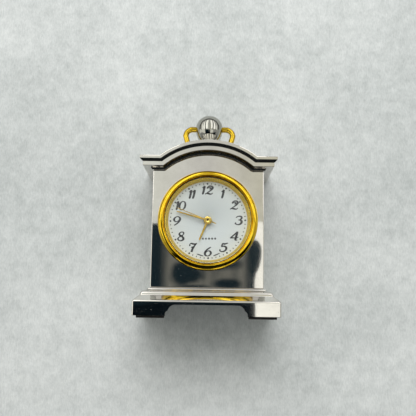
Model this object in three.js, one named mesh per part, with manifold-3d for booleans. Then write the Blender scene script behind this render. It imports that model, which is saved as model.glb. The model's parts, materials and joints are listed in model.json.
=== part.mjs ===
// A miniature mantel clock: a chromed three-piece case with an arched cornice, bracket feet, a knob
// finial and a bail handle, holding a push-in quartz clock insert with hour, minute and seconds hands.
// Millimetres. +X is the clock's right as it is looked at, +Y goes from the dial to the back, +Z is up.
// The origin is on the surface that the clock stands on, under the middle of its footprint.
import * as THREE from "three";
import { mergeVertices } from "three/addons/utils/BufferGeometryUtils.js";
import Module from "manifold-3d";

const wasm = await Module();
wasm.setup();

// ---- Driving dimensions ----

// Case
const DEPTH = 26;
const BACK = DEPTH / 2;
const BASE_PROJECTION = 4.2; // how far the base stands out from the body, in front and at the sides
const FACE = -BACK + BASE_PROJECTION; // plane of the body's front face
const BODY_HALF = 15.2;
const BODY_BOTTOM = 7.7;
const WALL = 1.6;
const FRONT_WALL = 2.4;
const EDGE_ROUND = 0.5;
const GAP = 0.02; // between pieces that touch

// Cornice: its top outline is two level shoulders and an arch struck from the dial's centre
const DIAL_HEIGHT = 25.9;
const SHOULDER = 43.15;
const ARCH_RADIUS = 21.66;
const CORNICE_DROP = 3.45; // from the top outline down to the body
const ARCH_STEPS = 12;

// Finial and handle: the finial is a ball, drawn out below, with the handle's wire through it
const ROOF_TOP = DIAL_HEIGHT + ARCH_RADIUS;
const FINIAL_CENTRE = 53.6;
const FINIAL_HALF_WIDTH = 4;
const FINIAL_RISE = 3.9; // from its widest level to its top
const FINIAL_DEPTH = 5.1; // from its widest level down, if it were not cut off by the collar
const HANDLE_WIRE = 0.8; // radius
const HANDLE_LEVEL = 53.45;
const HANDLE_HALF = 6.78;
const HANDLE_FOOT = 5.6;
const HANDLE_BEND = 2;

// Base: a block on bracket feet and rubber pads, hollow underneath and open at the back
const BASE_HALF = BODY_HALF + BASE_PROJECTION;
const PAD = 0.6;
const BLOCK_TOP = 4.72;
const APRON_BOTTOM = 3.5;
const HOLLOW_TOP = 4.1;
const FRONT_CUT = 10.65; // half width between the front feet
const SIDE_CUT = 5.6; // half width between a side's feet
const SKIRT = 3;

// Back plate and the case's screws
const PLATE_THICKNESS = 1.3;
const PLATE_FRONT_Y = BACK - PLATE_THICKNESS;
const PLATE_HALF = BODY_HALF - 0.8;
const FINGER_HOLE = 6;
const POSTS = [-1, 1].flatMap((side) => [[side * 12.2, 10.7], [side * 12.2, 36.8]]);
const BASE_SCREW_X = 8;
const BASE_SCREW_Y = 3;
const FINIAL_SHANK = 0.62;
const BASE_SHANK = 0.68;
const SCREW_HEAD = 1.5;
const SCREW_CLEARANCE = 0.23; // of a hole that a screw passes through

// Insert: lengths along its axis are measured back from the body's front face
const INSERT_BORE = 12.1;
const BORE_SIDES = 40;
const HOUSING_OUTER = 13.3;
const HOUSING_LENGTH = 10.5;
const CUP_OUTER = 11.9;
const CUP_INNER = 11.1;
const CUP_LENGTH = 8.2;
const BEZEL_OUTER = 13.5;
const BEZEL_FRONT = -2;
const CRYSTAL_RADIUS = 11.48;
const DIAL_FRONT = 0.4;
const DIAL_THICKNESS = 0.4;

// Movement
const MOVEMENT_RADIUS = 9.2;
const PLATE_FRONT = 1.6;
const PLATE_BACK = 2.35;
const BRIDGE_FRONT = 4.35;
const BRIDGE_BACK = 4.85;
const STEM_DEPTH = 1.95;
const PIVOT = 0.1; // radius of a train arbor
const PIVOT_HOLE = 0.14;
const BRIDGE_SCREW = 0.3; // radius of a bridge screw's thread
const BRIDGE_SCREW_HOLE = 0.34;

// Tooth counts: seconds to minutes is 60 to 1, minutes to hours 12 to 1, rotor to seconds 30 to 1
const TEETH = {
  rotor: 8,
  fifth: 40,
  fifthPinion: 10,
  fourth: 60,
  fourthPinion: 8,
  third: 60,
  thirdPinion: 8,
  centre: 64,
  cannon: 12,
  minute: 36,
  minutePinion: 10,
  hour: 40,
  setting: 20,
};
const TRAIN_DISTANCE = 2.88; // seconds and minute arbors to the third wheel
const MOTION_DISTANCE = 2.5; // minute and hour arbors to the minute wheel
const FIFTH_DISTANCE = 2.85;
const ROTOR_DISTANCE = 1.62;
const SETTING_PLACE = 2.9; // from the dial's centre to the setting wheel

// The time shown, 6:47:49, and how far the insert sits turned in its bore
const SECOND = 48.8;
const MINUTE = 47 + SECOND / 60;
const HOUR = 6 + MINUTE / 60;
const INSERT_TURN = -1.3;

// ---- Materials ----

const material = (color, roughness, metalness, more = {}) =>
  new THREE.MeshStandardMaterial({ color, roughness, metalness, ...more });
const CHROME = material("#cfd0cd", 0.08, 1);
const GOLD = material("#d9ab2c", 0.16, 1);
const BRASS = material("#c8a24e", 0.35, 1);
const STEEL = material("#b4b6b8", 0.3, 1);
const WHITE = material("#dfe3e1", 0.5, 0);
const RUBBER = material("#141414", 0.8, 0);
const GLASS = material("#f4fafa", 0.02, 0, { transparent: true, opacity: 0.2 });
const PLASTIC = material("#d8d4c8", 0.5, 0);
const NYLON = material("#3a3320", 0.5, 0);
const BOARD = material("#1f5c39", 0.5, 0);
const COPPER = material("#b4632c", 0.35, 1);
const BLACK = material("#1b1b1d", 0.5, 0);

// ---- Solid helpers ----

// A closed geometry as a manifold solid with its faces outward.
function solid(geometry) {
  const bare = geometry.index ? geometry.toNonIndexed() : geometry.clone();
  for (const name of Object.keys(bare.attributes)) {
    if (name !== "position") bare.deleteAttribute(name);
  }
  const merged = mergeVertices(bare, 1e-4);
  const made = new wasm.Manifold(
    new wasm.Mesh({
      numProp: 3,
      vertProperties: merged.attributes.position.array,
      triVerts: new Uint32Array(merged.index.array),
    }),
  );
  return made.volume() < 0 ? solid(turnedOut(merged)) : made;
}

// The same surface with every triangle wound the other way.
function turnedOut(indexed) {
  const flipped = indexed.clone();
  const order = Array.from(indexed.index.array);
  for (let i = 0; i < order.length; i += 3) [order[i + 1], order[i + 2]] = [order[i + 2], order[i + 1]];
  return flipped.setIndex(order);
}

function geometryOf(made) {
  const { vertProperties, triVerts, numProp } = made.getMesh();
  const points = new Float32Array((vertProperties.length / numProp) * 3);
  for (let i = 0; i < points.length / 3; i++) {
    points.set(vertProperties.subarray(i * numProp, i * numProp + 3), i * 3);
  }
  const geometry = new THREE.BufferGeometry();
  geometry.setAttribute("position", new THREE.BufferAttribute(points, 3));
  geometry.setIndex(new THREE.BufferAttribute(new Uint32Array(triVerts), 1));
  geometry.computeVertexNormals();
  return geometry;
}

const join = (first, ...rest) => rest.reduce((whole, next) => whole.add(next), first);
const cut = (first, ...rest) => rest.reduce((whole, next) => whole.subtract(next), first);

// A shape drawn in X and Z, from y = front to y = back.
function prism(shape, front, back, curveSegments = 8) {
  const geometry = new THREE.ExtrudeGeometry(shape, {
    depth: back - front,
    bevelEnabled: false,
    curveSegments,
  });
  return geometry.rotateX(Math.PI / 2).translate(0, back, 0);
}

// A shape drawn in X and Y, from z = bottom to z = top.
function column(shape, bottom, top, curveSegments = 12) {
  const geometry = new THREE.ExtrudeGeometry(shape, {
    depth: top - bottom,
    bevelEnabled: false,
    curveSegments,
  });
  return geometry.translate(0, 0, bottom);
}

// A closed section of [radius, y] pairs, turned about the Y axis.
function turned(section, segments = 40) {
  const points = [...section, section[0]].map(([radius, y]) => new THREE.Vector2(radius, y));
  return new THREE.LatheGeometry(points, segments);
}

const disc = (radius, front, back, segments = 32) =>
  turned([[0, front], [radius, front], [radius, back], [0, back]], segments);
const tube = (inner, outer, front, back, segments = 32) =>
  turned([[inner, front], [outer, front], [outer, back], [inner, back]], segments);

function box(x0, x1, y0, y1, z0, z1) {
  const geometry = new THREE.BoxGeometry(x1 - x0, y1 - y0, z1 - z0);
  return geometry.translate((x0 + x1) / 2, (y0 + y1) / 2, (z0 + z1) / 2);
}

// A cylinder that stands along Z.
const post = (radius, x, y, bottom, top, segments = 20) =>
  new THREE.CylinderGeometry(radius, radius, top - bottom, segments)
    .rotateX(Math.PI / 2)
    .translate(x, y, (bottom + top) / 2);

// A cylinder that lies along X.
const rod = (radius, from, to, y, z, segments = 16) =>
  new THREE.CylinderGeometry(radius, radius, to - from, segments)
    .rotateZ(Math.PI / 2)
    .translate((from + to) / 2, y, z);

function polygon(points) {
  return new THREE.Shape(points.map(([x, y]) => new THREE.Vector2(x, y)));
}

function withHole(shape, x, y, radius) {
  const hole = new THREE.Path();
  hole.absarc(x, y, radius, 0, 2 * Math.PI, true);
  shape.holes.push(hole);
  return shape;
}

function circle(x, y, radius) {
  const shape = new THREE.Shape();
  shape.absarc(x, y, radius, 0, 2 * Math.PI, false);
  return shape;
}

// Rings of equally many points, skinned one to the next, with the first and last ring capped by strips
// between their two halves: point i of a ring faces point count - 1 - i.
function skinned(rings) {
  const count = rings[0].length;
  const index = [];
  const quad = (a, b, c, d) => index.push(a, b, c, a, c, d);
  for (let level = 0; level + 1 < rings.length; level++) {
    for (let i = 0; i < count; i++) {
      const j = (i + 1) % count;
      const low = level * count;
      quad(low + i, low + j, low + count + j, low + count + i);
    }
  }
  const last = (rings.length - 1) * count;
  for (let i = 0; i + 1 < count / 2; i++) {
    quad(i + 1, i, count - 1 - i, count - 2 - i);
    quad(last + i, last + i + 1, last + count - 2 - i, last + count - 1 - i);
  }
  const geometry = new THREE.BufferGeometry();
  geometry.setAttribute("position", new THREE.Float32BufferAttribute(rings.flat(2), 3));
  return geometry.setIndex(index);
}

// ---- The tree of parts ----

const clock = new THREE.Group();
const insert = new THREE.Group();
insert.position.set(0, FACE, DIAL_HEIGHT);
clock.add(insert);

function place(parent, name, shape, finish, [x, y, z] = [0, 0, 0]) {
  const geometry = shape.isBufferGeometry ? geometryOf(solid(shape)) : geometryOf(shape);
  const mesh = new THREE.Mesh(geometry, finish);
  mesh.name = name;
  mesh.position.set(x, y, z);
  parent.add(mesh);
}

// ---- Case: cornice ----

// The points [x, z] of the outline that lies `drop` inside the cornice's top outline, from left to right.
function archLine(half, drop) {
  const radius = ARCH_RADIUS - drop;
  const level = SHOULDER - drop;
  const start = Math.asin((level - DIAL_HEIGHT) / radius);
  const arc = [];
  for (let i = 0; i <= ARCH_STEPS; i++) {
    const angle = Math.PI - start - ((Math.PI - 2 * start) * i) / ARCH_STEPS;
    arc.push([radius * Math.cos(angle), DIAL_HEIGHT + radius * Math.sin(angle)]);
  }
  return [[-half, level], ...arc, [half, level]];
}

// A flat-bottomed outline with that arched top, as a shape.
const archShape = (half, drop, bottom) =>
  polygon([[-half, bottom], [half, bottom], ...archLine(half, drop).reverse()]);

// [projection from the body, drop below the top outline] down the cornice's moulding
const CORNICE_PROFILE = [
  [3.15, 0],
  [3.3, 0.15],
  [3.3, 0.87],
  [3.26, 0.95],
  [2.66, 1.52],
  [2.5, 1.64],
  [2.5, 2.68],
  [2.4, 2.78],
  [0.5, 2.84],
  [0.08, 3.4],
  [0, CORNICE_DROP],
];

function cornice() {
  const rings = CORNICE_PROFILE.map(([projection, drop]) => {
    const line = archLine(BODY_HALF + projection, drop);
    const front = line.map(([x, z]) => [x, FACE - projection, z]);
    const back = line.map(([x, z]) => [x, BACK, z]).reverse();
    return [...front, ...back];
  });
  const screwHole = post(FINIAL_SHANK + SCREW_CLEARANCE, 0, 0, 40, 50);
  const legHole = HANDLE_WIRE + 0.06;
  const legHoles = [-1, 1].map((side) => solid(post(legHole, side * HANDLE_FOOT, 0, 45.2, 50)));
  return cut(solid(skinned(rings)), solid(screwHole), ...legHoles);
}

// ---- Case: finial and handle ----

// A turned section standing along Z instead of Y.
const standing = (section, segments) => turned(section, segments).rotateX(Math.PI / 2);

function finial() {
  const foot = ROOF_TOP + GAP;
  const section = [[0, foot], [2.5, foot], [2.5, foot + 0.43], [2.05, foot + 0.88]];
  const steps = 10;
  for (let i = 0; i <= steps; i++) {
    const angle = THREE.MathUtils.lerp(-0.3 * Math.PI, Math.PI / 2, i / steps);
    const halfHeight = angle > 0 ? FINIAL_RISE : FINIAL_DEPTH;
    section.push([
      i === steps ? 0 : FINIAL_HALF_WIDTH * Math.cos(angle),
      FINIAL_CENTRE + halfHeight * Math.sin(angle),
    ]);
  }
  const crossHole = rod(HANDLE_WIRE + 0.04, -5, 5, 0, HANDLE_LEVEL);
  const tapping = post(0.66, 0, 0, ROOF_TOP - 1, 51.4);
  return cut(solid(standing(section, 24)), solid(crossHole), solid(tapping));
}

// The bail's centre line in X and Z: level through the finial, round a bend and down into the roof.
function handleLine() {
  const side = [];
  const bendX = HANDLE_HALF - HANDLE_BEND;
  for (let i = 0; i <= 6; i++) {
    const angle = (1 - i / 6) * (Math.PI / 2);
    const drop = HANDLE_BEND * (1 - Math.sin(angle));
    side.push([bendX + HANDLE_BEND * Math.cos(angle), HANDLE_LEVEL - drop]);
  }
  side.push([6.35, 49.9], [5.85, 48.3], [HANDLE_FOOT, 46.8], [HANDLE_FOOT, 45.5]);
  return [...side.map(([x, z]) => [-x, z]).reverse(), [0, HANDLE_LEVEL], ...side];
}

function handle() {
  const path = new THREE.CatmullRomCurve3(
    handleLine().map(([x, z]) => new THREE.Vector3(x, 0, z)),
    false,
    "centripetal",
  );
  const section = new THREE.Shape();
  section.absarc(0, 0, HANDLE_WIRE, 0, 2 * Math.PI, false);
  return new THREE.ExtrudeGeometry(section, { steps: 30, extrudePath: path, curveSegments: 4 });
}

// ---- Case: body shell and back plate ----

function bodyShell() {
  const round = EDGE_ROUND;
  const outline = archShape(BODY_HALF - round, CORNICE_DROP + GAP + round, BODY_BOTTOM + GAP + round);
  const outer = new THREE.ExtrudeGeometry(outline, {
    depth: DEPTH - BASE_PROJECTION - 2 * round,
    bevelThickness: round,
    bevelSize: round,
    bevelSegments: 2,
  });
  outer.rotateX(Math.PI / 2).translate(0, BACK - round, 0);
  const cavity = prism(
    archShape(BODY_HALF - WALL, CORNICE_DROP + WALL, BODY_BOTTOM + WALL),
    FACE + FRONT_WALL,
    BACK + 1,
  );
  const rebateShape = archShape(PLATE_HALF, CORNICE_DROP + 0.9, BODY_BOTTOM + 0.9);
  const rebate = prism(rebateShape, PLATE_FRONT_Y, BACK + 1);
  const housing = disc(HOUSING_OUTER, 0.6, HOUSING_LENGTH, BORE_SIDES).translate(0, FACE, DIAL_HEIGHT);
  const bore = disc(INSERT_BORE, -1, HOUSING_LENGTH + 1, BORE_SIDES).translate(0, FACE, DIAL_HEIGHT);
  const posts = POSTS.map(([x, z]) => solid(prism(circle(x, z, 1.6), FACE + 1, PLATE_FRONT_Y - GAP)));
  const pilots = POSTS.map(([x, z]) => solid(prism(circle(x, z, 0.54), BACK - 6, BACK)));
  const bosses = [-1, 1].map((side) =>
    solid(post(1.9, side * BASE_SCREW_X, BASE_SCREW_Y, BODY_BOTTOM + 0.6, 12.4)),
  );
  const bossHoles = [-1, 1].map((side) => solid(post(0.72, side * BASE_SCREW_X, BASE_SCREW_Y, 6, 12)));
  const shell = join(cut(solid(outer), solid(cavity)), solid(housing), ...posts, ...bosses);
  const screwHole = solid(post(FINIAL_SHANK + SCREW_CLEARANCE, 0, 0, 40, 50));
  return cut(shell, solid(rebate), solid(bore), screwHole, ...pilots, ...bossHoles);
}

function backPlate() {
  const outline = archShape(PLATE_HALF - 0.15, CORNICE_DROP + 1.05, BODY_BOTTOM + 1.05);
  withHole(outline, 0, DIAL_HEIGHT, FINGER_HOLE);
  const plate = solid(prism(outline, PLATE_FRONT_Y + GAP, BACK, 32));
  const countersink = [[0, -3], [0.6, -3], [0.6, -0.72], [1.14, -0.18], [1.14, 1], [0, 1]];
  const seats = POSTS.map(([x, z]) => solid(turned(countersink, 12).translate(x, BACK, z)));
  return cut(plate, ...seats);
}

// A countersunk screw with its head flush at the back plate and a cross slot in it.
function backScrew() {
  const body = turned([[0, -4.6], [0.5, -4.6], [0.5, -0.7], [1.08, -0.12], [1.08, -0.04], [0, -0.04]], 12);
  const slot = box(-0.7, 0.7, -0.35, 1, -0.13, 0.13);
  const cross = box(-0.13, 0.13, -0.35, 1, -0.7, 0.7);
  return cut(solid(body), solid(slot), solid(cross));
}

// A slotted pan-head screw that stands along Z with its head below z = 0.
function upScrew(length, shank) {
  const head = SCREW_HEAD;
  const section = [
    [0, -1.05],
    [head - 0.25, -1.05],
    [head, -0.75],
    [head, 0],
    [shank, 0],
    [shank, length],
    [0, length],
  ];
  const slot = box(-head * 0.75, head * 0.75, -0.2, 0.2, -2, -0.6);
  return cut(solid(standing(section, 14)), solid(slot));
}

// ---- Case: base ----

// [projection from the body, height] up the base's moulding
const BASE_PROFILE = [
  [BASE_PROJECTION, PAD],
  [BASE_PROJECTION, 4.25],
  [4.08, 4.56],
  [3.8, BLOCK_TOP],
  [2.5, 5.85],
  [2.36, 6],
  [2.12, 6.65],
  [1.8, 6.97],
  [1.1, 7.15],
  [0.65, 7.4],
  [0.5, BODY_BOTTOM],
];

const CORNER_STEPS = 3;

// The base's outline at one height: the front corners are rounded, the back ones square.
function baseRing(projection, height) {
  const half = BODY_HALF + projection;
  const front = FACE - projection;
  const round = Math.min(0.6, projection / 2);
  const line = [];
  for (const side of [-1, 1]) {
    for (let i = 0; i <= CORNER_STEPS; i++) {
      const angle = ((side > 0 ? i : CORNER_STEPS - i) / CORNER_STEPS) * (Math.PI / 2);
      const inset = round * (1 - Math.sin(angle));
      line.push([side * (half - inset), front + round * (1 - Math.cos(angle)), height]);
    }
  }
  return [...line, ...line.map(([x, , z]) => [x, BACK, z]).reverse()];
}

// The bracket cut between two feet: flat apron, concave curve, a small cusp and the foot's inner edge.
function bracketCut(reach) {
  const shape = new THREE.Shape();
  const inner = reach - 2.5;
  shape.moveTo(-reach, -1);
  shape.lineTo(-reach, 1.15);
  shape.quadraticCurveTo(-reach + 0.05, 1.75, -reach + 0.65, 1.95);
  shape.quadraticCurveTo(-reach + 1.1, 3.35, -inner, APRON_BOTTOM);
  shape.lineTo(inner, APRON_BOTTOM);
  shape.quadraticCurveTo(reach - 1.1, 3.35, reach - 0.65, 1.95);
  shape.quadraticCurveTo(reach - 0.05, 1.75, reach, 1.15);
  shape.lineTo(reach, -1);
  return shape;
}

function base() {
  const block = solid(skinned(BASE_PROFILE.map(([projection, height]) => baseRing(projection, height))));
  const half = BASE_HALF;
  const frontCut = prism(bracketCut(FRONT_CUT), -BACK - 1, BACK + 1, 5);
  const sideCut = prism(bracketCut(SIDE_CUT), -half - 1, half + 1, 5).rotateZ(Math.PI / 2);
  const hollow = box(-half + SKIRT, half - SKIRT, -BACK + SKIRT, BACK + 1, -1, HOLLOW_TOP);
  const hole = BASE_SHANK + SCREW_CLEARANCE;
  const holes = [-1, 1].map((side) => solid(post(hole, side * BASE_SCREW_X, BASE_SCREW_Y, 3, 9)));
  return cut(block, solid(frontCut), solid(sideCut), solid(hollow), ...holes);
}

// The pads stop short of the feet's edges. A front pad follows its corner, a back one is straight.
const PAD_OUTER_X = BASE_HALF - 1.1;
const PAD_OUTER_Y = BACK - 0.8;
const PAD_INNER_X = BASE_HALF - SKIRT + 0.25;
const PAD_INNER_Y = BACK - SKIRT + 0.25;
const PAD_END_X = FRONT_CUT + 0.3;
const PAD_END_Y = SIDE_CUT + 0.3;

function footPad(corners) {
  return column(polygon(corners), 0, PAD - GAP);
}

const frontPad = (side) =>
  footPad([
    [side * PAD_END_X, -PAD_OUTER_Y],
    [side * PAD_OUTER_X, -PAD_OUTER_Y],
    [side * PAD_OUTER_X, -PAD_END_Y],
    [side * PAD_INNER_X, -PAD_END_Y],
    [side * PAD_INNER_X, -PAD_INNER_Y],
    [side * PAD_END_X, -PAD_INNER_Y],
  ]);

const backPad = (side) =>
  footPad([
    [side * PAD_INNER_X, PAD_END_Y],
    [side * PAD_OUTER_X, PAD_END_Y],
    [side * PAD_OUTER_X, PAD_OUTER_Y],
    [side * PAD_INNER_X, PAD_OUTER_Y],
  ]);

place(clock, "roof_cornice", cornice(), CHROME);
place(clock, "body_shell", bodyShell(), CHROME);
place(clock, "base_plinth", base(), CHROME);
place(clock, "back_plate", backPlate(), CHROME);
place(clock, "finial_knob", finial(), CHROME);
place(clock, "handle_bail", handle(), GOLD);
place(clock, "finial_screw", upScrew(8.5, FINIAL_SHANK), STEEL, [0, 0, 42.36]);
POSTS.forEach(([x, z], i) => place(clock, `back_screw_${i + 1}`, backScrew(), STEEL, [x, BACK, z]));
[["left", -1], ["right", 1]].forEach(([side, sign]) => {
  const seat = [sign * BASE_SCREW_X, BASE_SCREW_Y, HOLLOW_TOP - GAP];
  place(clock, `base_screw_${side}`, upScrew(7.6, BASE_SHANK), STEEL, seat);
  place(clock, `foot_pad_front_${side}`, frontPad(sign), RUBBER);
  place(clock, `foot_pad_back_${side}`, backPad(sign), RUBBER);
});

// ---- Insert: shell, crystal and dial ----

const BEZEL_SECTION = [
  [11.56, -GAP],
  [BEZEL_OUTER - 0.08, -GAP],
  [BEZEL_OUTER, -0.12],
  [BEZEL_OUTER, -0.6],
  [13.33, -1.3],
  [12.85, -1.81],
  [12.2, BEZEL_FRONT],
  [11.98, -1.85],
  [11.68, -1.75],
  [11.68, -1.12],
  [11.56, -1.12],
];

const REFLECTOR_SECTION = [
  [10.72, 0.36],
  [10.98, 0.36],
  [10.98, -0.08],
  [11.5, -0.08],
  [11.5, -1.1],
  [11.28, -1.1],
  [11.02, -0.6],
];

// The rubber ring that holds the insert in its bore
const GRIP_SECTION = [
  [11.54, 3.36],
  [11.8, 3.36],
  [12.06, 3.7],
  [12.06, 4.3],
  [11.8, 4.64],
  [11.54, 4.64],
];

// The window in the insert's side for the crown
const CROWN_WINDOW = [8.9, 12.5, STEM_DEPTH - 1.2, STEM_DEPTH + 1.2, -1.2, 1.2];

function cup() {
  const wall = turned(
    [
      [CUP_INNER, 0],
      [CUP_OUTER, 0],
      [CUP_OUTER, 3.3],
      [11.5, 3.3],
      [11.5, 4.7],
      [CUP_OUTER, 4.7],
      [CUP_OUTER, CUP_LENGTH],
      [CUP_INNER, CUP_LENGTH],
    ],
    40,
  );
  return cut(solid(wall), solid(box(...CROWN_WINDOW)));
}

function movementRing() {
  const ring = tube(MOVEMENT_RADIUS + 0.1, CUP_INNER - 0.08, 0.85, 5.1, 36);
  return cut(solid(ring), solid(box(...CROWN_WINDOW)));
}

function insertBack() {
  const rim = CUP_INNER - 0.1;
  const plate = turned([[0, 7.3], [10.4, 7.3], [10.4, 5.2], [rim, 5.2], [rim, 7.9], [0, 7.9]], 36);
  const pry = box(-1.4, 1.4, 7.55, 8.5, -11.4, -10.2);
  return cut(solid(plate), solid(pry));
}

place(insert, "bezel", turned(BEZEL_SECTION, 48), GOLD);
place(insert, "crystal", disc(CRYSTAL_RADIUS, -1.84, -1.13, 40), GLASS);
place(insert, "crystal_gasket", tube(CRYSTAL_RADIUS + GAP, 11.63, -1.72, -1.14, 40), NYLON);
place(insert, "reflector_ring", turned(REFLECTOR_SECTION, 40), GOLD);
place(insert, "dial", tube(0.95, CUP_INNER - 0.1, DIAL_FRONT, DIAL_FRONT + DIAL_THICKNESS, 40), WHITE);
place(insert, "insert_cup", cup(), BRASS);
place(insert, "grip_ring", turned(GRIP_SECTION, 36), RUBBER);
place(insert, "movement_ring", movementRing(), PLASTIC);
place(insert, "insert_back", insertBack(), STEEL);

// ---- Gears ----

// A toothed outline with a tooth centred at `phase`, measured from +X towards +Z.
function gearOutline(teeth, module, phase) {
  const pitch = (2 * Math.PI) / teeth;
  const tip = module * (teeth / 2 + 0.8);
  const root = module * (teeth / 2 - 1.1);
  const points = [];
  for (let i = 0; i < teeth; i++) {
    for (const [share, radius] of [[-0.5, root], [-0.13, tip], [0.13, tip]]) {
      const angle = phase + (i + share) * pitch;
      points.push([radius * Math.cos(angle), radius * Math.sin(angle)]);
    }
  }
  return polygon(points);
}

function wheel(teeth, module, phase, front, back) {
  return solid(prism(gearOutline(teeth, module, phase), front, back));
}

// The phase that puts a gear in mesh with one whose phase is known, along the line between them.
const meshed = (direction, phase, teeth, otherTeeth) =>
  direction + Math.PI + Math.PI / otherTeeth - ((phase - direction) * teeth) / otherTeeth;

const trainModule = (a, b, distance) => (2 * distance) / (a + b);
const MODULE = {
  centre: trainModule(TEETH.centre, TEETH.thirdPinion, TRAIN_DISTANCE),
  third: trainModule(TEETH.third, TEETH.fourthPinion, TRAIN_DISTANCE),
  fourth: trainModule(TEETH.fourth, TEETH.fifthPinion, FIFTH_DISTANCE),
  fifth: trainModule(TEETH.fifth, TEETH.rotor, ROTOR_DISTANCE),
  minute: trainModule(TEETH.minute, TEETH.cannon, MOTION_DISTANCE),
  hour: trainModule(TEETH.hour, TEETH.minutePinion, MOTION_DISTANCE),
};

// Directions of the arbors from the dial's centre
const THIRD_AT = -Math.PI / 6;
const FIFTH_AT = Math.PI / 2;
const SETTING_REACH = (MODULE.minute * (TEETH.minute + TEETH.setting)) / 2;
const MINUTE_WHEEL_AT = Math.acos(
  (MOTION_DISTANCE ** 2 + SETTING_PLACE ** 2 - SETTING_REACH ** 2) / (2 * MOTION_DISTANCE * SETTING_PLACE),
);
const along = (direction, distance) => [distance * Math.cos(direction), 0, distance * Math.sin(direction)];

// Fourth wheel: the seconds arbor, which passes through the hollow minute arbor.
function fourthWheel() {
  return join(
    solid(disc(0.14, -0.86, 4.6, 12)),
    wheel(TEETH.fourthPinion, MODULE.third, 0, 3.05, 3.42),
    wheel(TEETH.fourth, MODULE.fourth, 0, 3.75, 3.92),
    solid(disc(0.3, 3.3, 4.1, 16)),
  );
}

// Centre wheel on its hollow arbor.
function centreWheel() {
  const whole = join(solid(disc(0.3, 0.1, 2.95, 16)), wheel(TEETH.centre, MODULE.centre, 0, 2.5, 2.68));
  return cut(whole, solid(disc(0.2, -2, 5, 16)));
}

// Cannon pinion: a sleeve gripping the centre arbor, which slips when the hands are set.
function cannonPinion() {
  const whole = join(solid(disc(0.4, -0.6, 1.3, 16)), wheel(TEETH.cannon, MODULE.minute, 0, 1.2, 1.5));
  return cut(whole, solid(disc(0.32, -2, 5, 16)));
}

function thirdWheel() {
  const pinionPhase = meshed(THIRD_AT, 0, TEETH.centre, TEETH.thirdPinion);
  const wheelPhase = meshed(THIRD_AT, 0, TEETH.fourthPinion, TEETH.third);
  return join(
    solid(disc(PIVOT, 2, 4.7, 10)),
    wheel(TEETH.thirdPinion, MODULE.centre, pinionPhase, 2.44, 3.25),
    wheel(TEETH.third, MODULE.third, wheelPhase, 3.14, 3.3),
  );
}

const FIFTH_WHEEL_PHASE = Math.PI / 2;

function fifthWheel() {
  const pinionPhase = meshed(FIFTH_AT, 0, TEETH.fourth, TEETH.fifthPinion);
  return join(
    solid(disc(PIVOT, 2, 4.7, 10)),
    wheel(TEETH.fifthPinion, MODULE.fourth, pinionPhase, 3.2, 4.0),
    wheel(TEETH.fifth, MODULE.fifth, FIFTH_WHEEL_PHASE, 3.14, 3.3),
  );
}

function rotor() {
  const phase = meshed(FIFTH_AT, FIFTH_WHEEL_PHASE, TEETH.fifth, TEETH.rotor);
  return join(
    solid(disc(PIVOT, 2, 4.7, 10)),
    wheel(TEETH.rotor, MODULE.fifth, phase, 2.9, 3.42),
    solid(disc(0.75, 2.5, 2.98, 20)),
  );
}

const MINUTE_WHEEL_PHASE = meshed(MINUTE_WHEEL_AT, 0, TEETH.cannon, TEETH.minute);

function minuteWheel() {
  const whole = join(
    wheel(TEETH.minute, MODULE.minute, MINUTE_WHEEL_PHASE, 1.25, 1.45),
    wheel(TEETH.minutePinion, MODULE.hour, 0, 0.92, 1.35),
  );
  return cut(whole, solid(disc(0.2, 0, 3, 12)));
}

function hourWheel() {
  const toHour = MINUTE_WHEEL_AT + Math.PI;
  const phase = meshed(toHour, 0, TEETH.minutePinion, TEETH.hour);
  const whole = join(wheel(TEETH.hour, MODULE.hour, phase, 0.95, 1.12), solid(disc(0.8, -0.22, 1.12, 24)));
  return cut(whole, solid(disc(0.48, -1, 2, 20)));
}

function settingWheel() {
  const [x, , z] = along(MINUTE_WHEEL_AT, MOTION_DISTANCE);
  const toSetting = Math.atan2(-z, SETTING_PLACE - x);
  const phase = meshed(toSetting, MINUTE_WHEEL_PHASE, TEETH.minute, TEETH.setting);
  return cut(wheel(TEETH.setting, MODULE.minute, phase, 1.25, 1.45), solid(disc(0.2, 0, 3, 12)));
}

place(insert, "fourth_wheel", fourthWheel(), BRASS);
place(insert, "centre_wheel", centreWheel(), BRASS);
place(insert, "cannon_pinion", cannonPinion(), STEEL);
place(insert, "third_wheel", thirdWheel(), BRASS, along(THIRD_AT, TRAIN_DISTANCE));
place(insert, "fifth_wheel", fifthWheel(), BRASS, along(FIFTH_AT, FIFTH_DISTANCE));
place(insert, "rotor", rotor(), STEEL, along(FIFTH_AT, FIFTH_DISTANCE + ROTOR_DISTANCE));
place(insert, "minute_wheel", minuteWheel(), BRASS, along(MINUTE_WHEEL_AT, MOTION_DISTANCE));
place(insert, "hour_wheel", hourWheel(), BRASS);
place(insert, "setting_wheel", settingWheel(), STEEL, [SETTING_PLACE, 0, 0]);

// ---- Hands: drawn pointing to twelve, then turned to the time ----

function hand({ length, tail, baseWidth, tipWidth, hub, bore, front, back, hubFront, hubBack, turn }) {
  const blade = polygon([
    [-baseWidth / 2, -tail],
    [baseWidth / 2, -tail],
    [baseWidth / 2, length * 0.35],
    [tipWidth / 2, length],
    [-tipWidth / 2, length],
    [-baseWidth / 2, length * 0.35],
  ]);
  const whole = join(solid(prism(blade, front, back)), solid(disc(hub, hubFront, hubBack, 24)));
  const angle = THREE.MathUtils.degToRad(turn + INSERT_TURN);
  return geometryOf(cut(whole, solid(disc(bore, -3, 3, 16)))).rotateY(angle);
}

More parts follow.
